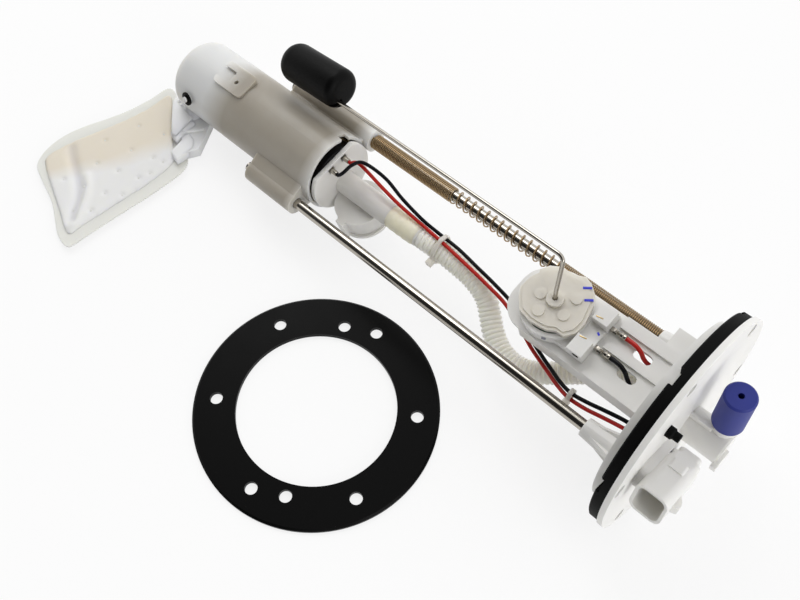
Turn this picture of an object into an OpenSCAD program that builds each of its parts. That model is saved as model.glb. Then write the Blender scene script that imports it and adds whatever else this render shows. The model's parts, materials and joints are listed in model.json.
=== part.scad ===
// Fuel pump module with a level sender, taken out of its tank and lying on its side,
// with its steel lock ring lying beside it. Lengths are in millimetres.
// Inside laid(), z runs from the flange's outer face into the tank, y from the near
// rod to the far rod, and x points up, away from the table.

/* [Flange] */
// Width of the disc outside the bolt circle
flange_margin = 5.85; // [5:0.05:8]
// Thickness of the flange disc
flange_t = 3; // [2:0.25:4]
// Diameter of the bolt circle, shared with the lock ring
bolt_pcd = 114.3; // [112:0.1:115]
// Diameter of a bolt hole
bolt_d = 7.2; // [5:0.1:7.6]
// Rubber left on each side of a bolt hole in the gasket
gasket_web = 1.1; // [0.8:0.1:1.8]
// Distance from the outer face to the rim of the plug
plug_end = 14; // [11:0.5:18]
// Wall of the plug
plug_wall = 2.6; // [2:0.1:4]
// Thickness of the gasket at the bolts
gasket_t = 4.2; // [2:0.1:5]
// Thickness of the gasket between the bolts
collar_h = 6.2; // [5:0.1:7.5]

/* [Guide rods] */
// Diameter of each guide rod
rod_d = 6.35; // [5:0.05:7]
// Distance from the cup's wall to the middle of each rod
rod_gap = 6; // [5.6:0.1:8]
// Distance from the outer face to the top of the rod bosses
boss_end = 36; // [28:0.5:44]
// Diameter of a rod boss at its top
boss_d = 10.6; // [9.5:0.1:14]
// Diameter of a rod boss at its root
boss_root_d = 16; // [14:0.5:20]
// Radial clearance of a pressed or seated piece
seat_gap = 0.05; // [0.02:0.01:0.1]
// Radial clearance of a sliding piece
slide_gap = 0.2; // [0.1:0.05:0.3]

/* [Pump cup] */
// Wall of the cup
cup_wall = 1.8; // [1.4:0.1:2.2]
// Distance from the outer face to the mouth of the cup
cup_mouth = 246; // [236:1:260]
// Length of the cup from its mouth to its closed end
cup_len = 132; // [126:1:150]
// Radius of the cup's closed edge
cup_edge_r = 7; // [4:0.5:9]
// Outer diameter of the slide bosses on the cup
guide_d = 14.4; // [12:0.1:16]
// Length of the near slide boss
near_guide_len = 40; // [30:1:60]
// Distance from the cup's mouth to the near slide boss
near_guide_start = 5.5; // [0:0.5:30]
// Length of the far slide boss
far_guide_len = 68; // [40:1:90]

/* [Pump] */
// Diameter of the pump's steel shell
shell_d = 38.4; // [37:0.1:38.8]
// Wall of the rubber sleeve between shell and cup
sleeve_wall = 2.9; // [2:0.1:4]
// Length of the pump's steel shell
shell_len = 104; // [90:1:110]
// Wall of the shell
shell_wall = 1.2; // [0.8:0.1:1.6]
// Diameter of the armature's core
core_d = 23; // [20:0.5:24]
// Diameter of the motor shaft
shaft_d = 4; // [3:0.1:5]
// Number of vanes on the impeller
vane_count = 32; // [16:1:40]

/* [Outlet and regulator] */
// Outer diameter of the pump's outlet tube
outlet_d = 14.4; // [12:0.1:15]
// Length of the outlet tube in front of the cup's mouth
outlet_len = 45; // [36:1:56]
// Height of the outlet tube below the module's axis
outlet_drop = 6; // [4:0.5:8]
// Diameter of the regulator's housing
regulator_d = 31; // [28:0.5:32]
// Depth of the regulator's housing below the outlet tube
regulator_h = 15; // [12:0.5:16]
// Outer diameter of the fuel hose
hose_d = 13; // [11:0.5:13.5]

/* [Level sender] */
// Width of the bracket that carries the sender
bracket_w = 38; // [36:0.5:39]
// Distance from the outer face to the end of the bracket
bracket_end = 108; // [100:1:120]
// Thickness of the bracket's plate
bracket_t = 2.5; // [2:0.1:3]
// Height of the bracket's plate above the module's axis
bracket_x = 12; // [11:0.1:13]
// Depth of the bracket's side skirts
skirt_h = 10; // [6:0.5:10.5]
// Diameter of the sender's round cover
sender_d = 38; // [34:0.5:38.5]
// Height of the sender's housing
sender_h = 7; // [6.5:0.5:9]
// Diameter of the float arm's wire
arm_d = 2.3; // [1.8:0.1:2.6]
// Diameter of the float
float_d = 24; // [20:0.5:26]
// Length of the float
float_len = 49; // [40:0.5:54]

/* [Strainer] */
// Thickness of the strainer bag
bag_h = 9; // [7:0.5:12]

/* [Lock ring] */
// Width of the lock ring outside the bolt circle
ring_margin = 12.7; // [9:0.1:16]
// Width of the lock ring's flat face
ring_w = 24.2; // [20:0.1:28]
// Thickness of the lock ring
ring_t = 3; // [2:0.1:4]

/* [Cap and connector] */
// Outer diameter of the outlet nipple
nipple_d = 8; // [7:0.1:9]
// Outer diameter of the protective cap
cap_d = 15.8; // [14:0.1:17]
// Length of the protective cap
cap_len = 28; // [22:0.5:32]
// Width of the connector's mouth
plug_mouth_w = 20; // [18:0.5:22]
// Height of the connector's mouth
plug_mouth_h = 17; // [15:0.5:18]
// Wall of the connector's shroud
shroud_wall = 1.6; // [1.2:0.1:2]

/* [Hidden] */
$fn = 72;
cut = 1;                 // how far a cutting solid runs past the face it opens
flange_d = bolt_pcd + 2 * flange_margin;
plug_d = bolt_pcd - bolt_d - 2 * gasket_web;
gasket_d = bolt_pcd + bolt_d + 2 * gasket_web;
ring_d = bolt_pcd + 2 * ring_margin;
ring_bore = ring_d - 2 * ring_w;
cup_bore = shell_d + 2 * sleeve_wall + 2 * seat_gap;
cup_d = cup_bore + 2 * cup_wall;
rod_offset = cup_d / 2 + rod_gap;
flange_floor = 3.5;      // solid floor of the plug, from the outer face
cup_end = cup_mouth + cup_len;
lie_tilt = atan((flange_d - cup_d) / 2 / (cup_end - cup_edge_r - flange_t));
lie_roll = 11.5;         // turn of the module about its own axis as it lies
axis_h = flange_d / 2 * cos(lie_tilt) + flange_t * sin(lie_tilt);
near_guide_z = cup_mouth + near_guide_start;
near_guide_end = near_guide_z + near_guide_len;
far_guide_z = cup_mouth - 4;
far_guide_end = far_guide_z + far_guide_len;
nut_t = 1.6;
nut_d = 2 * (rod_gap - 0.4);
nut_clear = 0.2;
rod_tail = 3;            // how far a rod stands past its push nut
rod_seat = flange_floor + 3;
near_rod_end = near_guide_end + nut_clear + nut_t + rod_tail;
far_rod_end = far_guide_end + nut_clear + nut_t + rod_tail;
ring_place = [-156, -105];
ring_turn = 38.5;
ring_pair_turn = 118.3;
ring_pair_pcd = 105.7;
mould_white = [0.93, 0.93, 0.91];
clear_white = [0.95, 0.94, 0.91];
steel = [0.75, 0.74, 0.72];

// Turns the module from its own axes to the way it lies on the table
module laid() {
    rotate([0, -90 - lie_tilt, 0])
        rotate([0, 0, -lie_roll])
            children();
}

// For the pieces that lie flat on the table
module on_table() {
    translate([0, 0, -axis_h]) children();
}

// Round bar from one point to another
module bar(a, b, d) {
    v = b - a;
    translate(a)
        rotate([0, acos(v[2] / norm(v)), atan2(v[1], v[0])])
            cylinder(d = d, h = norm(v));
}

// Round wire through points, with a slightly larger ball at each bend
module bent_wire(points, d) {
    for (i = [0 : len(points) - 2]) {
        bar(points[i], points[i + 1], d);
    }
    for (i = [1 : 1 : len(points) - 2]) {
        translate(points[i]) sphere(d = d + 0.12);
    }
}

// Tube swept along points, with flat ends and a given number of sides
function unit(v) = v / norm(v);
function heading(p, i) = unit(p[min(i + 1, len(p) - 1)] - p[max(i - 1, 0)]);
function side_way(p, i, ref) = unit(cross(heading(p, i), ref));
function ring_at(p, i, r, sides, ref) =
    let (n = side_way(p, i, ref), b = cross(heading(p, i), n))
    [for (k = [0 : sides - 1]) p[i] + r * (cos(360 * k / sides) * n + sin(360 * k / sides) * b)];
module swept_cord(p, d, sides, ref) {
    last = len(p) - 1;
    polyhedron(
        points = [for (i = [0 : last]) each ring_at(p, i, d / 2, sides, ref)],
        faces = concat(
            [[for (k = [0 : sides - 1]) k]],
            [[for (k = [sides - 1 : -1 : 0]) last * sides + k]],
            [for (i = [0 : last - 1], k = [0 : sides - 1])
                let (a = i * sides + k, b = i * sides + (k + 1) % sides)
                [b, a, a + sides, b + sides]]));
}

// Rectangle with round corners, centred
module soft_rect(w, h, r) {
    square([w - 2 * r, h], center = true);
    square([w, h - 2 * r], center = true);
    for (i = [-1, 1], j = [-1, 1]) {
        translate([i * (w / 2 - r), j * (h / 2 - r)]) circle(r = r, $fn = 40);
    }
}

module bolt_circle(count, pcd, turn) {
    for (i = [0 : count - 1]) {
        rotate([0, 0, turn + 360 * i / count]) translate([pcd / 2, 0, 0]) children();
    }
}

// Flange moulding
port_x = -4.5;           // middle of the outlet barrel
port_y = 5;
port_d = 19;
port_len = 21;
port_turn = 9.7;         // lean of the nipple towards the far side
port_bore = 4.6;
nipple_y = 9.3;
nipple_z = -15.4;
nipple_len = 37;
cap_start = 16;          // from the nipple's root to the rim of the cap
barb_d = 8.4;
barb_len = 16;
hose_end = flange_floor + barb_len;
connector_turn = 24;     // rise of the connector above the near side
connector_start = 24;
connector_end = 49;
connector_z = -12;
key_w = 5;

module rod_boss(side) {
    translate([0, side * rod_offset, 0]) {
        translate([0, 0, flange_floor - 1])
            cylinder(d1 = boss_root_d, d2 = boss_d, h = boss_end - flange_floor + 1);
        for (i = [0 : 3]) {
            rotate([90, 0, 45 + 90 * i]) translate([0, 0, -1])
                linear_extrude(2)
                    polygon([[0, flange_floor - 1], [boss_root_d / 2 + 5, flange_floor - 1],
                        [boss_root_d / 2 + 5, flange_floor + 2], [boss_d / 2 + 0.5, boss_end - 6],
                        [0, boss_end - 6]]);
        }
    }
}

bracket_mid = 6.5;       // middle of the bracket, seen along the module
rib_h = 1.8;
rib_start = 52;
rib_ys = [[-12.5, -9.9], [4.8, 9], [18.4, 25.5]];
slot_len = 10.5;
slot_w = 5.4;
slot_z = 34;
slot_ys = [13, 0.2];
far_skirt_gap = 1;
spring_d = 9;
spring_wire = 1;

module bracket_outline() {
    end_r = 15;
    near = bracket_mid - bracket_w / 2;
    union() {
        translate([flange_floor, near]) square([bracket_end - end_r - flange_floor, bracket_w]);
        translate([bracket_end - end_r - 1, near + end_r]) square([end_r + 1, bracket_w - 2 * end_r]);
        for (y = [near + end_r, near + bracket_w - end_r]) {
            translate([bracket_end - end_r, y]) circle(r = end_r);
        }
        translate([flange_floor, near + bracket_w - 1]) square([26, 12]);
    }
}

module sender_bracket() {
    near = bracket_mid - bracket_w / 2;
    far_skirt = rod_offset - spring_d / 2 - far_skirt_gap;
    // the outline is drawn with z to the right and y upwards, then stood into place
    difference() {
        translate([bracket_x - bracket_t, 0, 0])
            multmatrix([[0, 0, 1, 0], [0, 1, 0, 0], [1, 0, 0, 0], [0, 0, 0, 1]])
                linear_extrude(bracket_t) bracket_outline();
        for (y = slot_ys) {
            translate([bracket_x, y, slot_z]) rotate([0, 90, 0]) translate([0, 0, -bracket_t - cut])
                linear_extrude(bracket_t + 2 * cut) soft_rect(slot_len, slot_w, slot_w / 2 - 0.01);
        }
    }
    translate([bracket_x - skirt_h - bracket_t, near, flange_floor])
        cube([skirt_h + 1, 2.2, bracket_end - 15 - flange_floor]);
    translate([bracket_x - skirt_h - bracket_t, far_skirt - 2.2, flange_floor])
        cube([skirt_h + 1, 2.2, bracket_end - 15 - flange_floor]);
    for (y = rib_ys) {
        translate([bracket_x - 0.5, y[0], flange_floor])
            cube([rib_h + 0.5, y[1] - y[0], rib_start - flange_floor]);
    }
}

// Rounded box along the connector, from one distance to another
module connector_block(from, to, narrower, lower, r) {
    translate([0, 0, from]) linear_extrude(to - from)
        soft_rect(plug_mouth_w - narrower, plug_mouth_h - lower, r);
}

module connector_shroud() {
    corner = 5;
    rotate([0, 0, connector_turn]) translate([0, 0, connector_z]) rotate([90, 0, 0]) {
        difference() {
            union() {
                connector_block(connector_start, connector_end, 0, 0, corner);
                connector_block(connector_start - 5, connector_start + 1, 5, 2, 3);
                connector_block(connector_start - 10, connector_start + 1, 9, 5, 2.5);
            }
            translate([0, 0, connector_end - 17]) linear_extrude(17 + cut)
                soft_rect(plug_mouth_w - 2 * shroud_wall, plug_mouth_h - 2 * shroud_wall, corner - shroud_wall);
        }
        // raised bands on the sides
        connector_block(connector_start + 2, connector_start + 8, -1.6, 8, 2);
        // latch ramp on the outer side
        translate([0, -plug_mouth_h / 2 - 3, 0]) rotate([0, -90, 0]) translate([0, 0, -key_w / 2])
            linear_extrude(key_w)
                polygon([[connector_end - 14, 3.2], [connector_end - 11, 0.8], [connector_end - 9, 0],
                    [connector_end - 7, 0], [connector_end - 5.6, 3.2]]);
        // foot down to the disc
        translate([0, plug_mouth_h / 2 - 1, connector_start + 3])
            rotate([-90, 0, 0]) linear_extrude(-connector_z - plug_mouth_h / 2 + 1.5)
                soft_rect(plug_mouth_w - 4, 30, 4);
    }
}

// Hollow barrel behind the disc, which turns the fuel into the nipple
module outlet_barrel() {
    translate([port_x, port_y, -port_len]) cylinder(d = port_d, h = port_len + 1);
    translate([port_x, port_y, -port_len - 0.8]) cylinder(d = port_d - 3, h = 1);
    // pry tab at the end of the barrel
    translate([port_x - 6, port_y - 11.6, -port_len - 2.4]) cube([7, 11, 3]);
    // gusset between the disc and the barrel
    translate([port_x + 4, port_y - 0.8, -12]) cube([11, 1.6, 13]);
    translate([port_x, nipple_y, nipple_z]) rotate([0, 0, port_turn]) rotate([0, 90, 0]) {
        cylinder(d = nipple_d + 4, h = cap_start - 3);
        cylinder(d = nipple_d, h = nipple_len);
        translate([0, 0, nipple_len - 7]) cylinder(d1 = nipple_d + 1.4, d2 = nipple_d - 1, h = 6);
    }
}

// Barb for the hose, inside the plug
module hose_barb() {
    translate([port_x, nipple_y, flange_floor - 1]) {
        cylinder(d = barb_d - 1, h = barb_len + 1);
        translate([0, 0, barb_len - 4]) cylinder(d1 = barb_d, d2 = barb_d - 2, h = 4);
        translate([0, 0, barb_len - 9]) cylinder(d1 = barb_d, d2 = barb_d - 1, h = 4);
    }
}

module flange_cover() {
    color(mould_white) laid() difference() {
        union() {
            cylinder(d = flange_d, h = flange_t, $fn = 180);
            difference() {
                cylinder(d = plug_d, h = plug_end, $fn = 180);
                translate([0, 0, flange_floor])
                    cylinder(d = plug_d - 2 * plug_wall, h = plug_end, $fn = 180);
            }
            rod_boss(-1);
            rod_boss(1);
            sender_bracket();
            connector_shroud();
            outlet_barrel();
            hose_barb();
        }
        for (side = [-1, 1]) {
            translate([0, side * rod_offset, rod_seat])
                cylinder(d = rod_d + 2 * seat_gap, h = boss_end);
        }
        bolt_circle(6, bolt_pcd, 0) translate([0, 0, -cut]) cylinder(d = bolt_d, h = flange_t + 2 * cut);
        translate([port_x, nipple_y, nipple_z]) {
            translate([0, 0, -port_bore / 2 - 1]) cylinder(d = port_bore, h = flange_floor + barb_len + 24);
            rotate([0, 0, port_turn]) rotate([0, 90, 0]) translate([0, 0, -1])
                cylinder(d = port_bore - 0.8, h = 60);
        }
        translate([stub_x, stub_y, -cut]) cylinder(d = stub_d, h = flange_floor + 2 * cut);
    }
}

// Thick between the bolts and thinner at them
module flange_gasket() {
    inner = plug_d / 2 + seat_gap;
    outer = gasket_d / 2;
    notch_w = 9.5;
    top = flange_t + collar_h;
    color([0.06, 0.06, 0.06]) laid() difference() {
        rotate_extrude($fn = 180)
            polygon([[inner, flange_t], [outer, flange_t], [outer, top - 0.8],
                [outer - 0.8, top], [inner, top]]);
        bolt_circle(6, bolt_pcd, 0) {
            translate([0, 0, flange_t - cut]) cylinder(d = bolt_d, h = collar_h + 2 * cut);
            translate([-bolt_d, -notch_w / 2, flange_t + gasket_t]) cube([20, notch_w, collar_h]);
        }
    }
}

// Steel ring that clamps the flange, lying flat on the table
module lock_ring() {
    bevel = 1.2;
    color([0.07, 0.07, 0.08]) on_table() translate([ring_place[0], ring_place[1], 0]) difference() {
        rotate_extrude($fn = 180)
            polygon([[ring_bore / 2, 0], [ring_d / 2, 0], [ring_d / 2, ring_t - bevel],
                [ring_d / 2 - bevel, ring_t], [ring_bore / 2, ring_t]]);
        bolt_circle(6, bolt_pcd, ring_turn) translate([0, 0, -cut])
            cylinder(d = bolt_d, h = ring_t + 2 * cut);
        bolt_circle(2, ring_pair_pcd, ring_pair_turn) translate([0, 0, -cut])
            cylinder(d = bolt_d, h = ring_t + 2 * cut);
    }
}

module rod(side, end_z) {
    chamfer = 0.6;
    color(steel) laid() translate([0, side * rod_offset, 0]) rotate_extrude()
        polygon([[0, rod_seat], [rod_d / 2, rod_seat], [rod_d / 2, end_z - chamfer],
            [rod_d / 2 - chamfer, end_z], [0, end_z]]);
}
module near_rod() { rod(-1, near_rod_end); }
module far_rod() { rod(1, far_rod_end); }

// Spring nuts pushed on the free ends of the rods
module push_nut(side, z) {
    translate([0, side * rod_offset, z]) difference() {
        union() {
            cylinder(d = nut_d, h = nut_t / 2);
            cylinder(d1 = nut_d - 1, d2 = rod_d + 1.6, h = nut_t);
        }
        translate([0, 0, -cut]) cylinder(d = rod_d + 2 * seat_gap, h = nut_t + 2 * cut);
    }
}
module push_nuts() {
    color([0.08, 0.08, 0.08]) laid() {
        push_nut(-1, near_guide_end + nut_clear);
        push_nut(1, far_guide_end + nut_clear);
    }
}

// Compression spring: close coils, open coils, close coils
spring_z0 = boss_end + 0.3;
spring_z1 = far_guide_z - 0.3;
close_pitch = 1.3;
near_close = 50;         // coils that lie close at the flange end
far_close = 60;          // coils that lie close at the cup end
open_turns = 12;
open_sides = 6;
open_steps = 14;

function close_profile(z0, count) = concat(
    [[spring_d / 2 - spring_wire, z0]],
    [for (i = [0 : count - 1], q = [[0, 0.5], [0.25, 0], [0.75, 0], [1, 0.5]])
        [spring_d / 2 - 0.4 * q[1], z0 + (i + q[0]) * close_pitch]],
    [[spring_d / 2 - spring_wire, z0 + count * close_pitch]]);
open_z0 = spring_z0 + near_close * close_pitch;
open_z1 = spring_z1 - far_close * close_pitch;
open_count = open_turns * open_steps;
coil_r = (spring_d - spring_wire) / 2;
function coil_point(i) =
    let (turn = 360 * i / open_steps)
    [coil_r * cos(turn), coil_r * sin(turn),
        open_z0 - spring_wire / 4 + (open_z1 - open_z0 + spring_wire / 2) * i / open_count];

module return_spring() {
    color([0.45, 0.36, 0.24]) laid() translate([0, rod_offset, 0]) {
        rotate_extrude($fn = 48) polygon(close_profile(spring_z0, near_close));
        rotate_extrude($fn = 48) polygon(close_profile(open_z1, far_close));
        swept_cord([for (i = [0 : open_count]) coil_point(i)], spring_wire, open_sides, [0, 0, 1]);
    }
}

// Black valve stub pressed into the flange
stub_x = 35;
stub_y = -15;
stub_d = 4.4;
stub_len = 6.6;
module vent_stub() {
    color([0.05, 0.05, 0.05]) laid() translate([stub_x, stub_y, 0]) {
        translate([0, 0, -2.8]) cylinder(d = stub_d + 1.6, h = 2.8);
        translate([0, 0, -3.6]) cylinder(d1 = stub_d, d2 = stub_d + 1.6, h = 0.8);
        translate([0, 0, -stub_len]) cylinder(d = stub_d, h = stub_len);
        cylinder(d = stub_d - 2 * seat_gap, h = flange_floor + 1);
        translate([0, 0, flange_floor]) cylinder(d1 = stub_d + 1.4, d2 = stub_d - 1, h = 2);
    }
}

module connector_blades() {
    color([0.8, 0.76, 0.6]) laid() rotate([0, 0, connector_turn]) translate([0, 0, connector_z])
        rotate([90, 0, 0])
            for (i = [-1.5 : 1 : 1.5]) {
                translate([i * 3.6 - 0.3, -1.4, connector_end - 17]) cube([0.6, 2.8, 7]);
            }
}

// Soft cap that closes the outlet nipple
module protective_cap() {
    end = cap_start + cap_len;
    color([0.14, 0.2, 0.55]) laid() translate([port_x, nipple_y, nipple_z]) rotate([0, 0, port_turn])
        rotate([0, 90, 0]) difference() {
            rotate_extrude()
                polygon([[0, cap_start], [cap_d / 2 - 0.4, cap_start], [cap_d / 2, cap_start + 0.6],
                    [cap_d / 2 - 0.2, end - 1.2], [cap_d / 2 - 1, end], [0, end]]);
            translate([0, 0, cap_start - cut])
                cylinder(d = nipple_d + 1.4 + 2 * slide_gap, h = nipple_len + 1.6 - cap_start);
            cylinder(d = 3, h = end + cut);
        }
}

// Level sender
sender_y = 7.5;
sender_z = 83.5;
card_t = 1.2;
cover_h = 5;
cover_x = bracket_x + sender_h;
boss_x = cover_x + cover_h + 2;
wire_hole = arm_d + 0.6;
sender_foot_z = 55;
sender_foot_w = 31;
block = 10;
block_ys = [16.8, -3.6];

module stand_x() {
    // local z of the children becomes the module's x
    translate([0, sender_y, sender_z])
        multmatrix([[0, 0, 1, 0], [0, 1, 0, 0], [-1, 0, 0, 0], [0, 0, 0, 1]])
            children();
}

module sender_housing() {
    foot_len = sender_z - sender_foot_z;
    color(mould_white) laid() {
        difference() {
            stand_x() translate([0, 0, bracket_x]) {
                cylinder(d = sender_d, h = sender_h);
                translate([0, -sender_foot_w / 2, 0]) cube([foot_len, sender_foot_w, sender_h - 3]);
            }
            stand_x() translate([0, 0, bracket_x + 2]) cylinder(d = sender_d - 5, h = sender_h);
        }
        for (y = block_ys) {
            translate([bracket_x + sender_h - 3.5, y - block / 2, sender_foot_z])
                cube([6.5, block, block - 1]);
        }
    }
}

// Ceramic card with its resistor tracks, on the housing floor
module resistor_card() {
    color([0.25, 0.4, 0.3]) laid() stand_x() translate([0, 0, bracket_x + 2]) difference() {
        cylinder(d = sender_d - 7, h = card_t);
        translate([0, 0, -cut]) cylinder(d = 9, h = card_t + 2 * cut);
    }
}

// Outline of the cover from its middle: down, then away. Its lobes snap over the housing
cover_outline = [[-17.3, 8.9], [-16.4, 7.2], [-18.7, 2.6], [-19.2, -4.9], [-16, -10], [-11.3, -14.8],
    [-4, -16.3], [2, -15.8], [6, -15], [10.2, -12.6], [15.1, -12.4], [18.8, -7.6], [19.3, -0.9], [17.6, 5.5],
    [16.4, 9.6], [13.4, 14.6], [8.4, 18.2], [4, 19.5], [-0.4, 17.5], [-5.8, 16.7], [-8.6, 17], [-14.6, 13.6]];
cover_written_at = 38;   // diameter of the housing that the outline is written for
cover_pads = [[-3.1, -9.8], [8.4, -4.1], [-8.2, -1.8], [8.1, 6.8]];
module sender_cover() {
    outline = cover_outline * (sender_d / cover_written_at);
    color(clear_white) laid() stand_x() translate([0, 0, cover_x]) difference() {
        union() {
            linear_extrude(cover_h - 1.6) polygon(outline);
            linear_extrude(cover_h - 0.8) polygon(outline * 0.9);
            for (spot = cover_pads) {
                translate([spot[0], spot[1], 0]) cylinder(d = 6, h = cover_h);
            }
            cylinder(d = 9, h = boss_x - cover_x);
        }
        translate([0, 0, -cut]) cylinder(d = wire_hole, h = 12);
        translate([0, 0, -cut]) cylinder(d = sender_d - 16, h = cut + 1.5);
    }
}

// Rotor with the wiper, turned by the float arm
module wiper_rotor() {
    base = bracket_x + 2 + card_t + 0.5;
    color([0.9, 0.88, 0.8]) laid() stand_x() difference() {
        union() {
            translate([0, 0, base]) cylinder(d = 8, h = cover_x - base - 0.4);
            translate([-2, -2, base]) cube([14, 4, 1.6]);
        }
        translate([0, 0, base - cut]) cylinder(d = arm_d + 2 * seat_gap, h = 12);
    }
}

// Float arm: a stub in the rotor, a leg, and the long wire to the float
arm_top = 48;            // height of the bend above the module's axis
arm_points = [
    [bracket_x + 2 + card_t + 0.6, sender_y, sender_z],
    [boss_x + 2, sender_y, sender_z],
    [arm_top - 3, 18.6, 86.8],
    [arm_top - 0.6, 20.4, 89.6],
    [32, 26.3, 261],
    [31.6, 27.6, 263.5],
    [31.6, 32, 264.5]];
float_mid = [33, 32.2, 282];
module float_arm() {
    color(steel) laid() bent_wire(arm_points, arm_d);
}
module float() {
    round_r = 8;
    lip = 3;
    color([0.09, 0.09, 0.09]) laid() difference() {
        translate(float_mid) rotate([0, -5, 0]) translate([0, 0, -float_len / 2]) rotate_extrude()
            polygon(concat([[0, 0]],
                [for (t = [-90 : 15 : 0]) [float_d / 2 - lip + lip * cos(t), lip + lip * sin(t)]],
                [for (t = [0 : 10 : 90])
                    [float_d / 2 - round_r + round_r * cos(t), float_len - round_r + round_r * sin(t)]],
                [[0, float_len]]));
        bent_wire([for (i = [3 : 6]) arm_points[i]], arm_d + 2 * seat_gap);
        // slot that the wire snaps into
        translate([float_mid[0] - 3.6, 27.4 - 6, 257]) cube([4.4, 5, 12]);
    }
}

// Brass crimps on the two contacts
module crimp(y) {
    translate([13.4, y - 1.6, 46]) cube([0.5, 3.2, sender_foot_z - 46]);
    translate([14.2, y, 46]) cylinder(d = 3.4, h = 4.4);
}
lead_ys = [15.2, 2.4];
module crimp_terminals() {
    color([0.8, 0.68, 0.4]) laid() for (y = lead_ys) {
        crimp(y);
    }
}

// Hand-chosen points along each lead and wire
lead_red_points = [[14.2, 15.2, 46], [14.2, 15.2, 44.5], [14.8, 15, 41.5], [14.8, 14.6, 38.5], [13.2, 13.9, 35.6],
    [10, 13.3, 33.8], [6.8, 13.3, 31.4], [4.8, 13.8, 27.5], [4.2, 14.6, 21], [4.2, 15, 14], [4.2, 15, flange_floor]];
lead_black_points = [[14.2, 2.4, 46], [14.2, 2.4, 44.5], [14.8, 2.2, 41.5], [14.8, 1.8, 38.5], [13.2, 1, 35.6],
    [10, 0.2, 33.8], [6.8, -0.8, 31.4], [4.8, -1.8, 27.5], [4.4, -2.6, 21], [4.4, -3, 14], [4.4, -3, flange_floor]];
lead_d = 2.4;
module sender_lead_red() {
    color([0.75, 0.1, 0.08]) laid() swept_cord(lead_red_points, lead_d, 8, [0, 1, 0]);
}
module sender_lead_black() {
    color([0.05, 0.05, 0.06]) laid() swept_cord(lead_black_points, lead_d, 8, [0, 1, 0]);
}

// Pump cup, which slides on the rods
latch_z = cup_mouth + 72;
latch_len = 26;
latch_w = 17;
latch_y = 2.8;
web_root = 20;           // width of a boss's web where it meets the cup
inlet_z = cup_end - 11;
inlet_turn = 241;        // direction of the inlet port round the cup, from x towards y
inlet_d = 10;

module cup_body() {
    r = cup_d / 2;
    rotate_extrude($fn = 120)
        polygon(concat(
            [[r - cup_wall, cup_mouth], [r, cup_mouth], [r, cup_end - cup_edge_r]],
            [for (t = [0 : 10 : 90]) [r - cup_edge_r + cup_edge_r * cos(t), cup_end - cup_edge_r + cup_edge_r * sin(t)]],
            [[0, cup_end], [0, cup_end - 2.4], [r - cup_edge_r, cup_end - 2.4],
                [r - cup_wall - 1.6, cup_end - cup_edge_r + 1], [r - cup_wall, cup_end - cup_edge_r - 2]]));
}

// Boss that slides on a rod, with a broad web to the cup
module slide_boss(side, z, length) {
    r = guide_d / 2;
    root = cup_d / 2 - 2.5;
    translate([0, side * rod_offset, z]) cylinder(d = guide_d, h = length);
    translate([0, 0, z]) linear_extrude(length)
        polygon([[r * 0.96, side * rod_offset], [web_root / 2, side * root], [-web_root / 2, side * root],
            [-r * 0.96, side * rod_offset]]);
}

module latch() {
    // raised fork, open towards the closed end of the cup
    translate([cup_d / 2 - 3, latch_y, latch_z + latch_len / 2]) rotate([0, 90, 0])
        linear_extrude(4.4) difference() {
            soft_rect(latch_len, latch_w, 3);
            translate([-latch_len / 2, 0]) soft_rect(latch_len - 3, latch_w / 2, 2);
        }
}

module pump_cup() {
    color(clear_white) laid() difference() {
        union() {
            cup_body();
            difference() {
                union() {
                    slide_boss(-1, near_guide_z, near_guide_len);
                    translate([0, rod_offset, far_guide_z]) cylinder(d = guide_d, h = far_guide_len);
                    translate([-guide_d * 0.35, cup_d / 2 - 2, cup_mouth])
                        cube([guide_d * 0.7, rod_offset - cup_d / 2 + 2, far_guide_len - 4]);
                    latch();
                    stud_place() cylinder(d = 6, h = 1.6);
                    stud_place() cylinder(d = stud_d, h = stud_h);
                }
                translate([0, 0, cup_mouth - 10]) cylinder(r = cup_d / 2 - cup_wall / 2, h = cup_len, $fn = 120);
            }
        }
        for (side = [-1, 1]) {
            translate([0, side * rod_offset, cup_mouth - 20])
                cylinder(d = rod_d + 2 * slide_gap, h = cup_len);
        }
        translate([cup_d / 2 - 6, latch_y - 1.2, latch_z + 10]) rotate([0, 90, 0]) cylinder(d = 3, h = 12);
        // notch in the rim for the wires
        translate([10, 6, cup_mouth - cut]) rotate([0, 0, 30]) cube([14, 6, 4 + cut]);
        rotate([0, 0, inlet_turn]) translate([8, 0, inlet_z]) rotate([0, 90, 0])
            cylinder(d = inlet_d, h = cup_d);
    }
}

// Rubber sleeve between the pump and the cup
shell_z = cup_mouth + 8;
shell_end = shell_z + shell_len;
module pump_isolator() {
    color([0.1, 0.1, 0.1]) laid() rotate_extrude()
        polygon([[shell_d / 2 + seat_gap, shell_z + 6], [shell_d / 2 + seat_gap + sleeve_wall, shell_z + 6],
            [shell_d / 2 + seat_gap + sleeve_wall, shell_end - 8], [shell_d / 2 + seat_gap, shell_end - 8]]);
}

module pump_shell() {
    r = shell_d / 2;
    lip = 1.6;
    color(steel) laid() rotate_extrude()
        polygon([[r - shell_wall, shell_z], [r - shell_wall - lip, shell_z], [r - shell_wall - lip, shell_z - 1],
            [r - 1, shell_z - 1], [r, shell_z], [r, shell_end], [r - 1, shell_end + 1],
            [r - shell_wall - lip, shell_end + 1], [r - shell_wall - lip, shell_end], [r - shell_wall, shell_end]]);
}

magnet_z = shell_z + 22;
magnet_len = 46;
magnet_out = shell_d / 2 - shell_wall - seat_gap;
magnet_in = core_d / 2 + 0.8;
module pump_magnets() {
    color([0.25, 0.25, 0.27]) laid() for (turn = [15, 195]) {
        rotate([0, 0, turn]) translate([0, 0, magnet_z]) rotate_extrude(angle = 140)
            translate([magnet_in, 0]) square([magnet_out - magnet_in, magnet_len]);
    }
}

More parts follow.
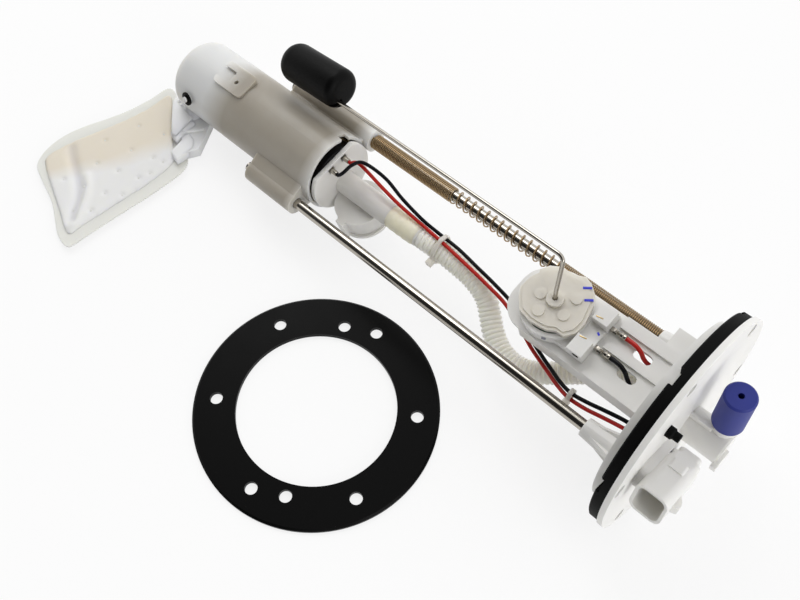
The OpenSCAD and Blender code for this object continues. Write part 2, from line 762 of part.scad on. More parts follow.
// Armature: slotted core, windings' ends, commutator and shaft
core_z = magnet_z + 4;
core_len = 38;
comm_z = shell_z + 10;
impeller_z = shell_end - 17;
impeller_h = 4;
module armature() {
    slots = 8;
    color([0.62, 0.45, 0.28]) laid() {
        difference() {
            translate([0, 0, core_z]) cylinder(d = core_d, h = core_len);
            for (i = [0 : slots - 1]) {
                rotate([0, 0, 360 / slots * i]) translate([core_d / 2 - 2.4, -1, core_z - cut])
                    cube([4, 2, core_len + 2 * cut]);
            }
        }
        translate([0, 0, core_z - 5]) cylinder(d1 = core_d - 9, d2 = core_d - 5, h = 5);
        translate([0, 0, core_z + core_len]) cylinder(d1 = core_d - 5, d2 = core_d - 9, h = 5);
        translate([0, 0, comm_z]) cylinder(d = 11, h = core_z - 5 - comm_z);
        translate([0, 0, shell_z + 3]) cylinder(d = shaft_d, h = impeller_z + impeller_h + 4 - shell_z - 3);
    }
}

module impeller() {
    d = shell_d - 2 * shell_wall - 1.2;
    pocket = 3;
    color([0.35, 0.3, 0.25]) laid() translate([0, 0, impeller_z]) difference() {
        cylinder(d = d, h = impeller_h);
        for (i = [0 : vane_count - 1]) {
            rotate([0, 0, 360 / vane_count * i]) translate([d / 2 - pocket, -0.7, -cut])
                cube([pocket + cut, 1.4, impeller_h + 2 * cut]);
        }
        translate([0, 0, -cut]) cylinder(d = shaft_d + 2 * seat_gap, h = impeller_h + 2 * cut);
    }
}

// Inlet plate with its feed channel and port, and the upper plate that carries the shaft
module inlet_plate() {
    d = shell_d - 2 * shell_wall - 2 * seat_gap;
    plate = 6;
    track = d / 2 - 2.2;
    color([0.7, 0.7, 0.7]) laid() {
        difference() {
            translate([0, 0, impeller_z + impeller_h + 0.3])
                cylinder(d = d, h = shell_end - impeller_z - impeller_h - 0.4);
            translate([0, 0, impeller_z]) cylinder(d = shaft_d + 0.4, h = impeller_h + plate);
            translate([0, 0, impeller_z]) rotate_extrude(angle = 300)
                translate([track - 1.4, 0]) square([2.8, impeller_h + 2]);
            translate([track - 2, 0, impeller_z]) cylinder(d = 5, h = 30);
        }
        difference() {
            translate([0, 0, impeller_z - 6.3]) cylinder(d = d, h = 6);
            translate([0, 0, impeller_z - 10]) cylinder(d = shaft_d + 0.4, h = 14);
            translate([-track + 2, 0, impeller_z - 10]) cylinder(d = 4, h = 14);
        }
    }
}

// Black end of the pump, with wells for the brushes and a seat for the shaft
holder_z = cup_mouth - 1;
brush_x = 7.6;
brush_w = 3.8;
module brush_holder() {
    d = shell_d - 2 * shell_wall - 3.6;
    color([0.07, 0.07, 0.08]) laid() difference() {
        union() {
            translate([0, 0, holder_z]) cylinder(d = d, h = shell_z + 9 - holder_z);
            translate([0, 0, holder_z]) cylinder(d = shell_d - 2, h = shell_z - 1.1 - holder_z);
        }
        translate([0, 0, shell_z + 3 - 0.3]) cylinder(d = shaft_d + 0.4, h = 20);
        for (s = [-1, 1]) {
            translate([s * brush_x - brush_w / 2 - 0.1, -brush_w / 2 - 0.1, shell_z - 2])
                cube([brush_w + 0.2, brush_w + 0.2, 20]);
        }
        translate([-outlet_drop, 0, holder_z - cut]) cylinder(d = 5, h = 30);
        for (y = terminal_ys) {
            translate([terminal_x - 0.5, y - 1.6, holder_z - cut]) cube([1, 3.2, 6]);
        }
    }
}
terminal_x = 12;
terminal_ys = [-4, 6.4];
module brushes() {
    color([0.3, 0.28, 0.27]) laid() for (s = [-1, 1]) {
        translate([s * brush_x - brush_w / 2, -brush_w / 2, shell_z - 1])
            cube([brush_w, brush_w, 10]);
    }
}

module pump_terminals() {
    color([0.8, 0.8, 0.78]) laid() for (y = terminal_ys) {
        translate([terminal_x - 0.4, y - 1.5, holder_z - 7]) cube([0.8, 3, 11.5]);
        translate([terminal_x - 0.2, y, holder_z - 7.5]) cylinder(d = 3, h = 4);
    }
}

// Cover over the pump's outlet end, with the outlet tube and the regulator's housing
reg_y = -4;
reg_z = cup_mouth - 19;
reg_floor = outlet_drop + outlet_d / 2 - 3;
outlet_z = cup_mouth - outlet_len;
chord_x = 15.5;
module outlet_cover() {
    skirt = 1.6;
    color(clear_white) laid() difference() {
        union() {
            // part of a disc that leaves the terminals free
            intersection() {
                translate([0, 0, cup_mouth - 4]) cylinder(d = cup_bore - 0.4, h = 2.8);
                translate([-cup_d, -cup_d, cup_mouth - 10]) cube([cup_d + chord_x, 2 * cup_d, 20]);
            }
            translate([-outlet_drop, 0, outlet_z]) cylinder(d = outlet_d, h = outlet_len - 1.2);
            translate([-reg_floor - regulator_h, reg_y, reg_z]) rotate([0, 90, 0])
                cylinder(d = regulator_d, h = regulator_h);
            translate([-reg_floor - regulator_h, reg_y, reg_z]) rotate([0, 90, 0])
                cylinder(d = regulator_d + 3, h = 2.4);
            // snap hook at the side of the housing
            translate([-reg_floor - regulator_h, reg_y - regulator_d / 2 - 2.6, reg_z - 3])
                cube([regulator_h, 3.4, 6]);
        }
        for (y = terminal_ys) {
            translate([terminal_x - 2, y - 2.2, cup_mouth - 10]) cube([4, 4.4, 20]);
        }
        translate([-reg_floor - regulator_h - cut, reg_y, reg_z]) rotate([0, 90, 0])
            cylinder(d = regulator_d - 2 * skirt - 1, h = regulator_h - 3 + cut);
        translate([-outlet_drop, 0, outlet_z - 20]) cylinder(d = 5.6, h = outlet_len + 30);
        translate([-outlet_drop, 0, outlet_z + 18]) cylinder(d = 8, h = 8);
        translate([-reg_floor - 6, reg_y, reg_z]) rotate([0, 90, 0]) cylinder(d = 4, h = 10);
    }
}
module check_ball() {
    color(steel) laid() translate([-outlet_drop, 0, outlet_z + 22.6]) sphere(d = 6.4);
}

reg_bore = regulator_d - 2 * 1.6 - 1;
reg_low = -reg_floor - regulator_h;
module regulator_cap() {
    color([0.93, 0.94, 0.96]) laid() translate([reg_low, reg_y, reg_z]) rotate([0, -90, 0]) {
        cylinder(d = regulator_d - 2, h = 3);
        translate([0, 0, 3]) cylinder(d1 = regulator_d - 2, d2 = regulator_d - 8, h = 3);
        translate([0, 0, -3]) cylinder(d = reg_bore - 4.6, h = 4);
    }
}
module regulator_o_ring() {
    section = 1.9;
    color([0.05, 0.05, 0.05]) laid() translate([reg_low + 1.5, reg_y, reg_z]) rotate([0, 90, 0])
        rotate_extrude() translate([reg_bore / 2 - section / 2 - seat_gap, 0]) circle(d = section, $fn = 24);
}
module regulator_valve() {
    color([0.8, 0.7, 0.45]) laid() translate([-reg_floor - 3.2, reg_y, reg_z]) rotate([0, -90, 0]) {
        cylinder(d1 = 6, d2 = 18, h = 1.5);
        translate([0, 0, 1.5]) cylinder(d = 6, h = 1.5);
    }
}
module regulator_spring() {
    color([0.6, 0.6, 0.58]) laid() translate([-reg_floor - 4.8, reg_y, reg_z]) rotate([0, -90, 0])
        rotate_extrude()
            polygon([[4.4, 0], [5.6, 0], [5.6, regulator_h - 8.2], [4.4, regulator_h - 8.2]]);
}

// Hand-chosen points along the hose and the wires, drawn out with the cup's distance
function drawn_out(points, new_low, new_high) =
    let (high = points[0][2], low = points[len(points) - 1][2])
    [for (p = points) [p[0], p[1], new_low + (p[2] - low) * (new_high - new_low) / (high - low)]];

hose_route = [[-6, 0, 200.6], [-6, 0, 190], [-6.4, 0.2, 177], [-8, 0.9, 164], [-10, 1, 153],
    [-12, 0.6, 142], [-14, -1.1, 133.3], [-17, -4, 126], [-20, -9.1, 119.8], [-22.4, -14.6, 113.4],
    [-24.2, -19.4, 105.4], [-25, -21.8, 96.5], [-25, -21.3, 87.5], [-24.2, -17.8, 79], [-22.4, -12, 70.6],
    [-19.6, -6, 62], [-16, -0.4, 53.4], [-11.6, 4.6, 44.4], [-7.4, 7.8, 35.4], [-4.8, 9.1, 27.5], [-4.5, 9.3, 24], [-4.5, 9.3, 19.5]];
hose_points = drawn_out(hose_route, hose_end, outlet_z - 0.4);
module fuel_hose() {
    color([0.93, 0.9, 0.78]) laid() swept_cord(hose_points, hose_d, 12, [1, 0, 0]);
}

wire_d = 2.2;
wire_end = holder_z - 7.5;
red_route = [[11.8, 6.4, 237.5], [11.8, 6.4, 236], [12.8, 8.6, 232], [11.5, 8.2, 224.8], [8, 6.5, 211.2], [4.5, 5.1, 196.7],
    [1.2, 4.6, 181.3], [-0.8, 3.7, 165.2], [-1.8, 2.7, 153.3], [-3, 1.5, 140.8], [-4.5, 0, 127],
    [-6, -2, 113.2], [-7, -6.7, 99.5], [-7, -12.3, 86.8], [-6.6, -15.4, 78], [-6.2, -18, 69.9], [-5, -20.8, 61.5],
    [-4, -22.6, 52.7], [-3, -22.2, 43], [-2, -20.6, 33.5], [-1, -19.4, 26], [0, -18.4, 18],
    [0, -18, 11], [0, -18, 3.5]];
black_route = [[11.8, -4, 237.5], [11.8, -4, 236.2], [14.4, -1.6, 233.4], [16, 4.6, 231.6], [15.2, 10, 227.4], [11, 11.3, 212.5],
    [6.5, 8.5, 197.1], [2, 6.8, 181.2], [-2, 7, 169], [-2.2, 6.4, 154], [-3, 4.6, 139], [-4.2, 2.8, 124.2],
    [-5, 0.3, 110], [-5, -4.4, 97.9], [-5, -9.8, 86.8], [-4.4, -13.4, 77.5], [-3.6, -16.4, 68.6],
    [-2.4, -19.2, 60], [-1.4, -20.4, 52], [-0.4, -19.4, 43], [0.4, -17.6, 34], [0.6, -15.8, 25], [0.6, -14.6, 16],
    [0.6, -14.2, 11], [0.6, -14.2, 3.5]];
red_points = drawn_out(red_route, flange_floor, wire_end);
black_points = drawn_out(black_route, flange_floor, wire_end);
module pump_wire_red() {
    color([0.72, 0.1, 0.08]) laid() swept_cord(red_points, wire_d, 8, [1, 0, 0]);
}
module pump_wire_black() {
    color([0.05, 0.05, 0.06]) laid() swept_cord(black_points, wire_d, 8, [1, 0, 0]);
}

// Cable ties: one holds the wires to the hose, one holds them together
tie_w = 2.4;
tie_t = 1;
tie_slack = 0.5;
module tie_outline(rounds, grow) {
    hull() {
        for (r = rounds) {
            translate([r[0], r[1]]) circle(r = r[2] + grow, $fn = 32);
        }
    }
}
module tie(rounds, head) {
    linear_extrude(tie_w) difference() {
        tie_outline(rounds, tie_slack + tie_t);
        tie_outline(rounds, tie_slack);
    }
    translate([head[0] - 2, head[1] - 3.4, -0.5]) cube([4, 3.4, tie_w + 1]);
}
module cable_ties() {
    hose_r = hose_d / 2;
    wire_r = wire_d / 2;
    color([0.93, 0.93, 0.92]) laid() {
        translate([0, 0, hose_points[3][2] - 1.2])
            tie([[-8.1, 0.9, hose_r], [-0.9, 3.6, wire_r], [-2.2, 6.6, wire_r]], [-8, 1.2 - hose_r - tie_slack - tie_t]);
        translate([0, 0, red_points[17][2] - 1.7])
            tie([[-3.9, -22.5, wire_r], [-1.4, -20.3, wire_r]], [-4, -24]);
    }
}

// Strainer: a flat cloth bag that lies on the table, welded to a neck on the cup
neck_d = 13;
rim_t = 1.4;
rim_z = 3.4;             // height of the welded rim above the table
edge_r = 4;
weld_gap = 0.2;
bag_place = [-inlet_z * cos(lie_tilt), -cup_d / 2];
bag_corners = [[-26, 4], [-36, -23], [-45, -52], [-47, -73], [-43, -86], [-26, -96], [11, -110], [20, -114],
    [24, -109], [26, -71], [24.5, -28]];
bag_mid = [-11, -52];
mouth = len(bag_corners) - 1;
mouth_way = unit(bag_corners[mouth] - bag_corners[0]);
mouth_out = [-mouth_way[1], mouth_way[0]];
function mouth_point(i, along, out) = bag_corners[i] + along * mouth_way + (edge_r + out) * mouth_out;
function bag_inner(i, share) = bag_corners[i] * (1 - share) + bag_mid * share;

module at_bag() {
    on_table() translate([bag_place[0], bag_place[1], 0]) children();
}

module strainer_neck() {
    color(clear_white) difference() {
        union() {
            at_bag() translate([0, 0, rim_z - 0.4]) linear_extrude(7)
                polygon([mouth_point(0, 5, weld_gap), mouth_point(mouth, -5, weld_gap),
                    mouth_point(mouth, -6, 10), [13, 12], [-15, 12], mouth_point(0, 7, 8)]);
            // ribs across the plate
            for (along = [14, 26, 38]) {
                at_bag() translate([0, 0, rim_z + 6.4]) linear_extrude(1.6)
                    polygon([mouth_point(0, along, 1), mouth_point(0, along + 1.6, 1),
                        mouth_point(0, along + 1.6, 16), mouth_point(0, along, 16)]);
            }
            laid() rotate([0, 0, inlet_turn]) translate([cup_d / 2 - 3, 0, inlet_z]) rotate([0, 90, 0])
                cylinder(d = neck_d, h = 8.5);
        }
        laid() translate([0, 0, inlet_z - 60]) cylinder(d = cup_d + 2 * seat_gap, h = 120, $fn = 120);
        laid() rotate([0, 0, inlet_turn]) translate([cup_d / 2 - 5, 0, inlet_z]) rotate([0, 90, 0])
            cylinder(d = inlet_d, h = 12);
    }
}

module strainer_bag() {
    color([0.93, 0.9, 0.84]) at_bag() {
        translate([0, 0, rim_z]) hull() {
            for (c = bag_corners) {
                translate(c) cylinder(r = edge_r, h = rim_t, $fn = 24);
            }
        }
        hull() {
            for (i = [0 : len(bag_corners) - 1]) {
                translate(bag_inner(i, 0.32)) cylinder(r = edge_r, h = bag_h, $fn = 20);
                translate([0, 0, rim_z - 0.6]) translate(bag_inner(i, 0.1))
                    cylinder(r = edge_r, h = rim_t + 1.2, $fn = 20);
            }
        }
    }
}

// Push nut on a stud of the cup, beside the neck
stud_d = 3.6;
stud_h = 4.4;
stud_turn = -62;
stud_z = cup_end - 19;
module stud_place() {
    rotate([0, 0, stud_turn]) translate([cup_d / 2 - 0.6, 0, stud_z]) rotate([0, 90, 0]) children();
}
module strainer_nut() {
    color([0.05, 0.05, 0.05]) laid() stud_place() translate([0, 0, 1.8]) difference() {
        union() {
            cylinder(d = stud_d + 5, h = 0.8);
            cylinder(d1 = stud_d + 4, d2 = stud_d + 1.4, h = 1.6);
        }
        translate([0, 0, -cut]) cylinder(d = stud_d + 2 * seat_gap, h = 2 + 2 * cut);
    }
}

flange_cover();
flange_gasket();
lock_ring();
near_rod();
far_rod();
push_nuts();
return_spring();
connector_blades();
vent_stub();
protective_cap();
sender_housing();
resistor_card();
sender_cover();
wiper_rotor();
float_arm();
float();
crimp_terminals();
sender_lead_red();
sender_lead_black();
pump_cup();
pump_isolator();
pump_shell();
pump_magnets();
armature();
impeller();
inlet_plate();
brush_holder();
brushes();
pump_terminals();
outlet_cover();
check_ball();
regulator_cap();
regulator_o_ring();
regulator_valve();
regulator_spring();
fuel_hose();
pump_wire_red();
pump_wire_black();
cable_ties();
strainer_neck();
strainer_bag();
strainer_nut();
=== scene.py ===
"""Looks of the fuel pump module: camera, studio, finishes and the pieces that CAD keeps plain."""
import json
import math

import bpy
from mathutils import Matrix, Vector

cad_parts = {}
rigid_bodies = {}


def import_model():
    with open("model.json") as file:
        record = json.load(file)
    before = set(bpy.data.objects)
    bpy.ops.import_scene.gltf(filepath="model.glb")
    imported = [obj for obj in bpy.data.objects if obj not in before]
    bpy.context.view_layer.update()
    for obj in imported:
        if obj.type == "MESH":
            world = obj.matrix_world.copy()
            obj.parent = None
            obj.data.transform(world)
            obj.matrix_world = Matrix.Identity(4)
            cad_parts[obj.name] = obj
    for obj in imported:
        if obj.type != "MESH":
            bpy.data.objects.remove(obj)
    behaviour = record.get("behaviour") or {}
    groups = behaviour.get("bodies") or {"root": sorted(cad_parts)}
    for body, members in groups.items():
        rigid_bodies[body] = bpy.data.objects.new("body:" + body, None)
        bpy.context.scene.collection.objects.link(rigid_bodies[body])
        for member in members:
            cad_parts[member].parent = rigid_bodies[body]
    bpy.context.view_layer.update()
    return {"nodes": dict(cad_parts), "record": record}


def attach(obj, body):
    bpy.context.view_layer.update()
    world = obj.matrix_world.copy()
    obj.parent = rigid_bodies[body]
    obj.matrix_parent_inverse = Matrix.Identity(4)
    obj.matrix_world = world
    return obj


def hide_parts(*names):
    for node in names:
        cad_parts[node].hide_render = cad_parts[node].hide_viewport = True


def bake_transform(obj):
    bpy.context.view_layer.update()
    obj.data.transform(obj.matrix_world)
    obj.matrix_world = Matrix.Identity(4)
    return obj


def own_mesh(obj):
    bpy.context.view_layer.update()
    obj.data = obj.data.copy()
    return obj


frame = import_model()
MM = 0.001

# The way the module lies, as in the CAD source: its own z runs into the tank, x points up, y away
FLANGE_R, FLANGE_T, CUP_R, CUP_END, CUP_EDGE = 63.0, 3.0, 23.95, 378.0, 7.0
TILT = math.atan((FLANGE_R - CUP_R) / (CUP_END - CUP_EDGE - FLANGE_T))
ROLL = math.radians(11.5)
TABLE_Z = -(FLANGE_R * math.cos(TILT) + FLANGE_T * math.sin(TILT)) * MM
LAID = Matrix.Rotation(-math.pi / 2 - TILT, 4, "Y") @ Matrix.Rotation(-ROLL, 4, "Z")


def laid(x, y, z):
    """A point of the module, in millimetres along its own axes, placed on the table."""
    return LAID @ (Vector((x, y, z)) * MM)


# Camera, solved from the ring and the flange in the photograph
CAMERA_AT = Vector((6.45, -204.9, 416.05)) * MM
CAMERA_TURN = (28.01, 0.0, 44.10)
LENS = 40.5


def add_camera():
    camera = bpy.data.cameras.new("camera")
    camera.lens = LENS
    camera.sensor_width = 36.0
    camera.clip_start = 0.02
    holder = bpy.data.objects.new("camera", camera)
    bpy.context.scene.collection.objects.link(holder)
    holder.location = CAMERA_AT
    holder.rotation_euler = [math.radians(a) for a in CAMERA_TURN]
    bpy.context.scene.camera = holder


# Shaders
class Link:
    """A shader socket that adds, subtracts, multiplies and divides like a number."""

    def __init__(self, tree, socket=None):
        self.tree = tree
        self.socket = socket

    def node(self, kind, settings=None, inputs=None, out=0):
        """Adds a node: its settings first, then a value or a link for each named or numbered socket."""
        made = self.tree.nodes.new("ShaderNode" + kind)
        for name, value in (settings or {}).items():
            if name == "stops":
                ramp = made.color_ramp
                while len(ramp.elements) < len(value):
                    ramp.elements.new(0.5)
                for stop, (place, shade) in zip(ramp.elements, value):
                    stop.position = place
                    stop.color = shade
            else:
                setattr(made, name, value)
        for name, value in (inputs or {}).items():
            if isinstance(value, Link):
                self.tree.links.new(value.socket, made.inputs[name])
            else:
                made.inputs[name].default_value = value
        return Link(self.tree, made.outputs[out] if made.outputs else None)

    def math(self, operation, *values):
        return self.node("Math", {"operation": operation}, dict(enumerate(values)))

    def __add__(self, other):
        return self.math("ADD", self, other)

    def __sub__(self, other):
        return self.math("SUBTRACT", self, other)

    def __rsub__(self, other):
        return self.math("SUBTRACT", other, self)

    def __mul__(self, other):
        return self.math("MULTIPLY", self, other)

    def __truediv__(self, other):
        return self.math("DIVIDE", self, other)

    __radd__ = __add__
    __rmul__ = __mul__

    def mix(self, low, high):
        """A colour between two, by this value."""
        return self.node("Mix", {"data_type": "RGBA"}, {0: self, 6: low, 7: high}, out=2)

    def ramp(self, *stops):
        """This value sent through stops of (place, grey)."""
        shades = [(place, (grey, grey, grey, 1)) for place, grey in stops]
        return self.node("ValToRGB", {"stops": shades}, {0: self})


def start_material(name):
    made = bpy.data.materials.new(name)
    made.use_nodes = True
    made.node_tree.nodes.clear()
    return made, Link(made.node_tree)


def noise(sheet, place, scale, detail=2.0, rough=0.5):
    return sheet.node("TexNoise", None,
                      {"Vector": place, "Scale": scale, "Detail": detail, "Roughness": rough})


def finish_material(sheet, bump=None, strength=0.1, distance=0.0002, **sockets):
    inputs = {name.replace("_", " "): value for name, value in sockets.items()}
    if bump is not None:
        inputs["Normal"] = sheet.node("Bump", None,
                                      {"Height": bump, "Strength": strength, "Distance": distance})
    surface = sheet.node("BsdfPrincipled", None, inputs)
    sheet.node("OutputMaterial", None, {"Surface": surface})


def shade(colour, share):
    return tuple(c * share for c in colour[:3]) + (1.0,)


def moulded(name, colour, roughness=0.42, scatter=0.25, depth=0.004, mottle=0.05, shine=0.5):
    """Moulded plastic: faint flow marks, fine grain, some light under the surface."""
    made, sheet = start_material(name)
    place = sheet.node("TexCoord", out=3)
    flow = noise(sheet, place, 38.0, 3.0)
    grain = noise(sheet, place, 1500.0, 1.0)
    finish_material(sheet, bump=grain * 0.6 + flow * 0.4, strength=0.12, distance=0.00025,
                    Base_Color=flow.mix(shade(colour, 1.0 - mottle), shade(colour, 1.0)),
                    Roughness=flow * 0.12 + grain * 0.06 + (roughness - 0.09),
                    Subsurface_Weight=scatter, Subsurface_Radius=(depth, depth, depth * 0.85),
                    Subsurface_Scale=1.0, Specular_IOR_Level=shine)
    return made


def drawn_metal(name, colour, roughness=0.22, wear=0.12):
    """Drawn or rolled metal: a fine grain and a little staining."""
    made, sheet = start_material(name)
    place = sheet.node("TexCoord", out=3)
    lines = noise(sheet, place, 900.0)
    stain = noise(sheet, place, 70.0, 3.0)
    finish_material(sheet, bump=lines, strength=0.03, distance=0.00005, Metallic=1.0,
                    Base_Color=stain.mix(shade(colour, 1.0 - wear), shade(colour, 1.0)),
                    Roughness=lines * 0.06 + stain * 0.06 + (roughness - 0.06))
    return made


def coated_steel(name):
    """Black coated sheet steel: a slightly wavy, glossy skin with a little dust."""
    made, sheet = start_material(name)
    place = sheet.node("TexCoord", out=3)
    wave = noise(sheet, place, 45.0, 3.0)
    dust = noise(sheet, place, 900.0, 3.0, 0.7).ramp((0.6, 0.0), (0.75, 1.0))
    finish_material(sheet, bump=wave * 0.7 + dust * 0.1, strength=0.15, distance=0.0003,
                    Base_Color=(dust * 0.25).mix((0.002, 0.002, 0.002, 1.0), (0.012, 0.012, 0.013, 1.0)),
                    Roughness=wave * 0.16 + dust * 0.1 + 0.22, Specular_IOR_Level=0.05)
    return made


def rubber(name, colour=(0.003, 0.003, 0.003), roughness=0.6, grain_scale=1300.0, relief=0.3, shine=0.06):
    """Rubber, foam and black plastic: a dull grain with a faint bloom."""
    made, sheet = start_material(name)
    place = sheet.node("TexCoord", out=3)
    grain = noise(sheet, place, grain_scale, 2.0)
    bloom = noise(sheet, place, 60.0, 3.0)
    finish_material(sheet, bump=grain, strength=relief, distance=0.0003,
                    Base_Color=bloom.mix(shade(colour, 0.8), shade(colour, 1.5)),
                    Roughness=bloom * 0.15 + (roughness - 0.08), Specular_IOR_Level=shine)
    return made


# Colours of the strainer's cloth, and the line on the table where cream turns to white
CLOTH_WHITE, CLOTH_CREAM = (0.79, 0.79, 0.775, 1.0), (0.73, 0.66, 0.54, 1.0)
CLOTH_THREAD = (0.84, 0.83, 0.81, 1.0)
STAIN_ACROSS, STAIN_AT, STAIN_FADE = (0.9, -0.435), 0.3033, 0.014


def woven_mesh(name):
    """Fine nylon cloth, cream on one side of a soft line and whiter on the other."""
    made, sheet = start_material(name)
    place = sheet.node("TexCoord", out=3)
    warp, weft = (sheet.node("TexWave", {"wave_type": "BANDS", "bands_direction": way, "wave_profile": "SIN"},
                             {"Vector": place, "Scale": 480.0, "Distortion": 0.6, "Detail": 1.0})
                  for way in ("X", "Y"))
    weave = sheet.math("MAXIMUM", warp, weft)
    cloud = noise(sheet, place, 45.0, 3.0)
    x, y = (sheet.node("SeparateXYZ", None, {0: place}, out=i) for i in (0, 1))
    past_line = (x * STAIN_ACROSS[0] + y * STAIN_ACROSS[1] + STAIN_AT) / STAIN_FADE
    stain = past_line + noise(sheet, place, 30.0) * 1.6 - 0.4
    dyed = stain.ramp((0.0, 1.0), (1.0, 0.0)).mix(CLOTH_WHITE, CLOTH_CREAM)
    finish_material(sheet, bump=weave, strength=0.3, distance=0.0002,
                    Base_Color=(cloud * 0.12 + weave * 0.1).mix(dyed, CLOTH_THREAD),
                    Roughness=weave * -0.1 + 0.75, Subsurface_Weight=0.3,
                    Subsurface_Radius=(0.003, 0.003, 0.002), Subsurface_Scale=1.0)
    return made


def milky_shell(name, low, high, unshaded, shaded_by_pump):
    """Milky plastic with a dark inside showing through between two distances along the local x, painted into
    its colour as shade.
    """
    made, sheet = start_material(name)
    place = sheet.node("TexCoord", out=3)
    along = sheet.node("SeparateXYZ", None, {0: place}, out=0)
    # painted shade: this mask darkens the colour where the pump sits behind the wall
    from_low = ((along - low) / 0.02).ramp((0.0, 0.0), (1.0, 1.0))
    inside = from_low * ((high - along) / 0.012).ramp((0.0, 0.0), (1.0, 1.0))
    flow = noise(sheet, place, 30.0, 3.0)
    grain = noise(sheet, place, 1500.0, 1.0)
    finish_material(sheet, bump=grain * 0.6 + flow * 0.4, strength=0.1, distance=0.0002,
                    Base_Color=(inside * (flow * 0.3 + 0.8)).mix(unshaded, shaded_by_pump), Roughness=flow * 0.12 + 0.3,
                    Subsurface_Weight=0.6, Subsurface_Radius=(0.007, 0.0065, 0.0055), Subsurface_Scale=1.0)
    return made


FINISHES = {
    "mould_white": moulded("nylon_white", (0.80, 0.79, 0.765), 0.4, 0.25),
    "mould_clear": moulded("acetal_milky", (0.74, 0.70, 0.62), 0.36, 0.5, 0.006),
    "black_rubber": rubber("rubber_black"),
    "black_steel": coated_steel("steel_black_coated"),
    "steel": drawn_metal("steel_bright", (0.45, 0.42, 0.37), 0.15),
    "spring_steel": drawn_metal("steel_tempered", (0.4, 0.285, 0.16), 0.25, wear=0.3),
    "brass": drawn_metal("brass_terminal", (0.78, 0.6, 0.3), 0.26),
    "black_plastic": rubber("plastic_black", (0.003, 0.003, 0.004), 0.4, 900.0, 0.15, 0.1),
    "blue_plastic": moulded("plastic_blue", (0.018, 0.03, 0.26), 0.5, 0.0, 0.002, 0.3, 0.3),
    "cap_white": moulded("plastic_cool_white", (0.74, 0.77, 0.84), 0.2, 0.2),
    "hose_cream": moulded("nylon_cream", (0.98, 0.955, 0.86), 0.36, 0.6, 0.008),
    "wire_red": moulded("insulation_red", (0.5, 0.016, 0.01), 0.3, 0.0, shine=0.3),
    "wire_black": moulded("insulation_black", (0.004, 0.004, 0.006), 0.32, 0.0, shine=0.15),
    "copper": drawn_metal("copper_windings", (0.6, 0.33, 0.18), 0.35),
    "carbon": rubber("carbon_pressed", (0.03, 0.03, 0.03), 0.5),
    "ceramic": moulded("ceramic_card", (0.1, 0.25, 0.14), 0.4, 0.0),
    "cloth": woven_mesh("mesh_cloth"),
    "float_foam": rubber("float_black", (0.002, 0.002, 0.002), 0.42, 1100.0, 0.3, 0.08),
}
NODE_SLOT = {part["node"]: part["material_slot"] for part in frame["record"]["subparts"]}


def finish(piece, slot, look=None):
    """Gives a piece the finish of one of the record's slots, or a look of its own."""
    piece.data.materials.clear()
    piece.data.materials.append(look or FINISHES[slot])


# Looks of single nodes and pieces. The pump fills the cup between these two places along x, and there the
# cup's colour holds painted shade of the pump seen through the milky wall
PUMP_FROM, PUMP_TO = -0.345, -0.243
CUP_EMPTY, CUP_PUMP_SHADE = (0.74, 0.735, 0.71, 1.0), (0.34, 0.305, 0.25, 1.0)
NODE_FINISH = {
    "pump_cup": milky_shell("cup_milky", PUMP_FROM, PUMP_TO, CUP_EMPTY, CUP_PUMP_SHADE),
    "sender_cover": moulded("cover_milky", (0.74, 0.7, 0.62), 0.36, 0.6, 0.005, 0.12),
    "strainer_neck": moulded("neck_white", (0.8, 0.805, 0.81), 0.4, 0.6, 0.008),
    "outlet_cover": moulded("outlet_milky", (0.78, 0.765, 0.73), 0.36, 0.5, 0.006, 0.1),
}

CUFF_FINISH = moulded("nylon_cuff", (0.92, 0.88, 0.7), 0.4, 0.5, 0.006)
RIM_FINISH = moulded("welded_rim", (0.76, 0.76, 0.71), 0.5, 0.4, 0.003)
PAINT_BLUE = moulded("paint_blue", (0.03, 0.04, 0.6), 0.45, 0.0)
# Painted shade: a near-black look for pieces that stand for the shade inside openings
HOLE_SHADE_PAINT = rubber("painted_hole_shade", (0.006, 0.006, 0.007), 0.7)
SLOT_BRASS = drawn_metal("slot_brass", (0.5, 0.36, 0.16), 0.3)
# Painted shade: a bluish grey look for a piece that stands for the shade at a clip on the sender
CLIP_SHADE_PAINT = moulded("painted_clip_shade", (0.3, 0.3, 0.36), 0.5, 0.0)

for cad_name, cad_node in frame["nodes"].items():
    for material_slot in cad_node.material_slots:
        material_slot.material = NODE_FINISH.get(cad_name) or FINISHES[NODE_SLOT[cad_name]]


# Studio: a pale floor, a room that is dark behind the camera, and two softboxes
FLOOR_SIZE, FLOOR_GLOW = 6.0, 0.8
DARK_SIDE = Vector((-0.1, -0.72, 0.69))
ROOM_STOPS = (0.1, 0.7), (0.62, 0.95), (0.77, 0.05), (0.92, 0.02)
ROOM_STRENGTH = 1.45
WHITE = (1.0, 1.0, 1.0, 1.0)
LAMPS_AIM = Vector((-0.18, 0.0, -0.05))
LAMPS = (("softbox_left", (-0.9, 0.5, 1.1), 0.7, 5.0), ("softbox_right", (1.1, -0.25, 0.35), 0.6, 3.5))


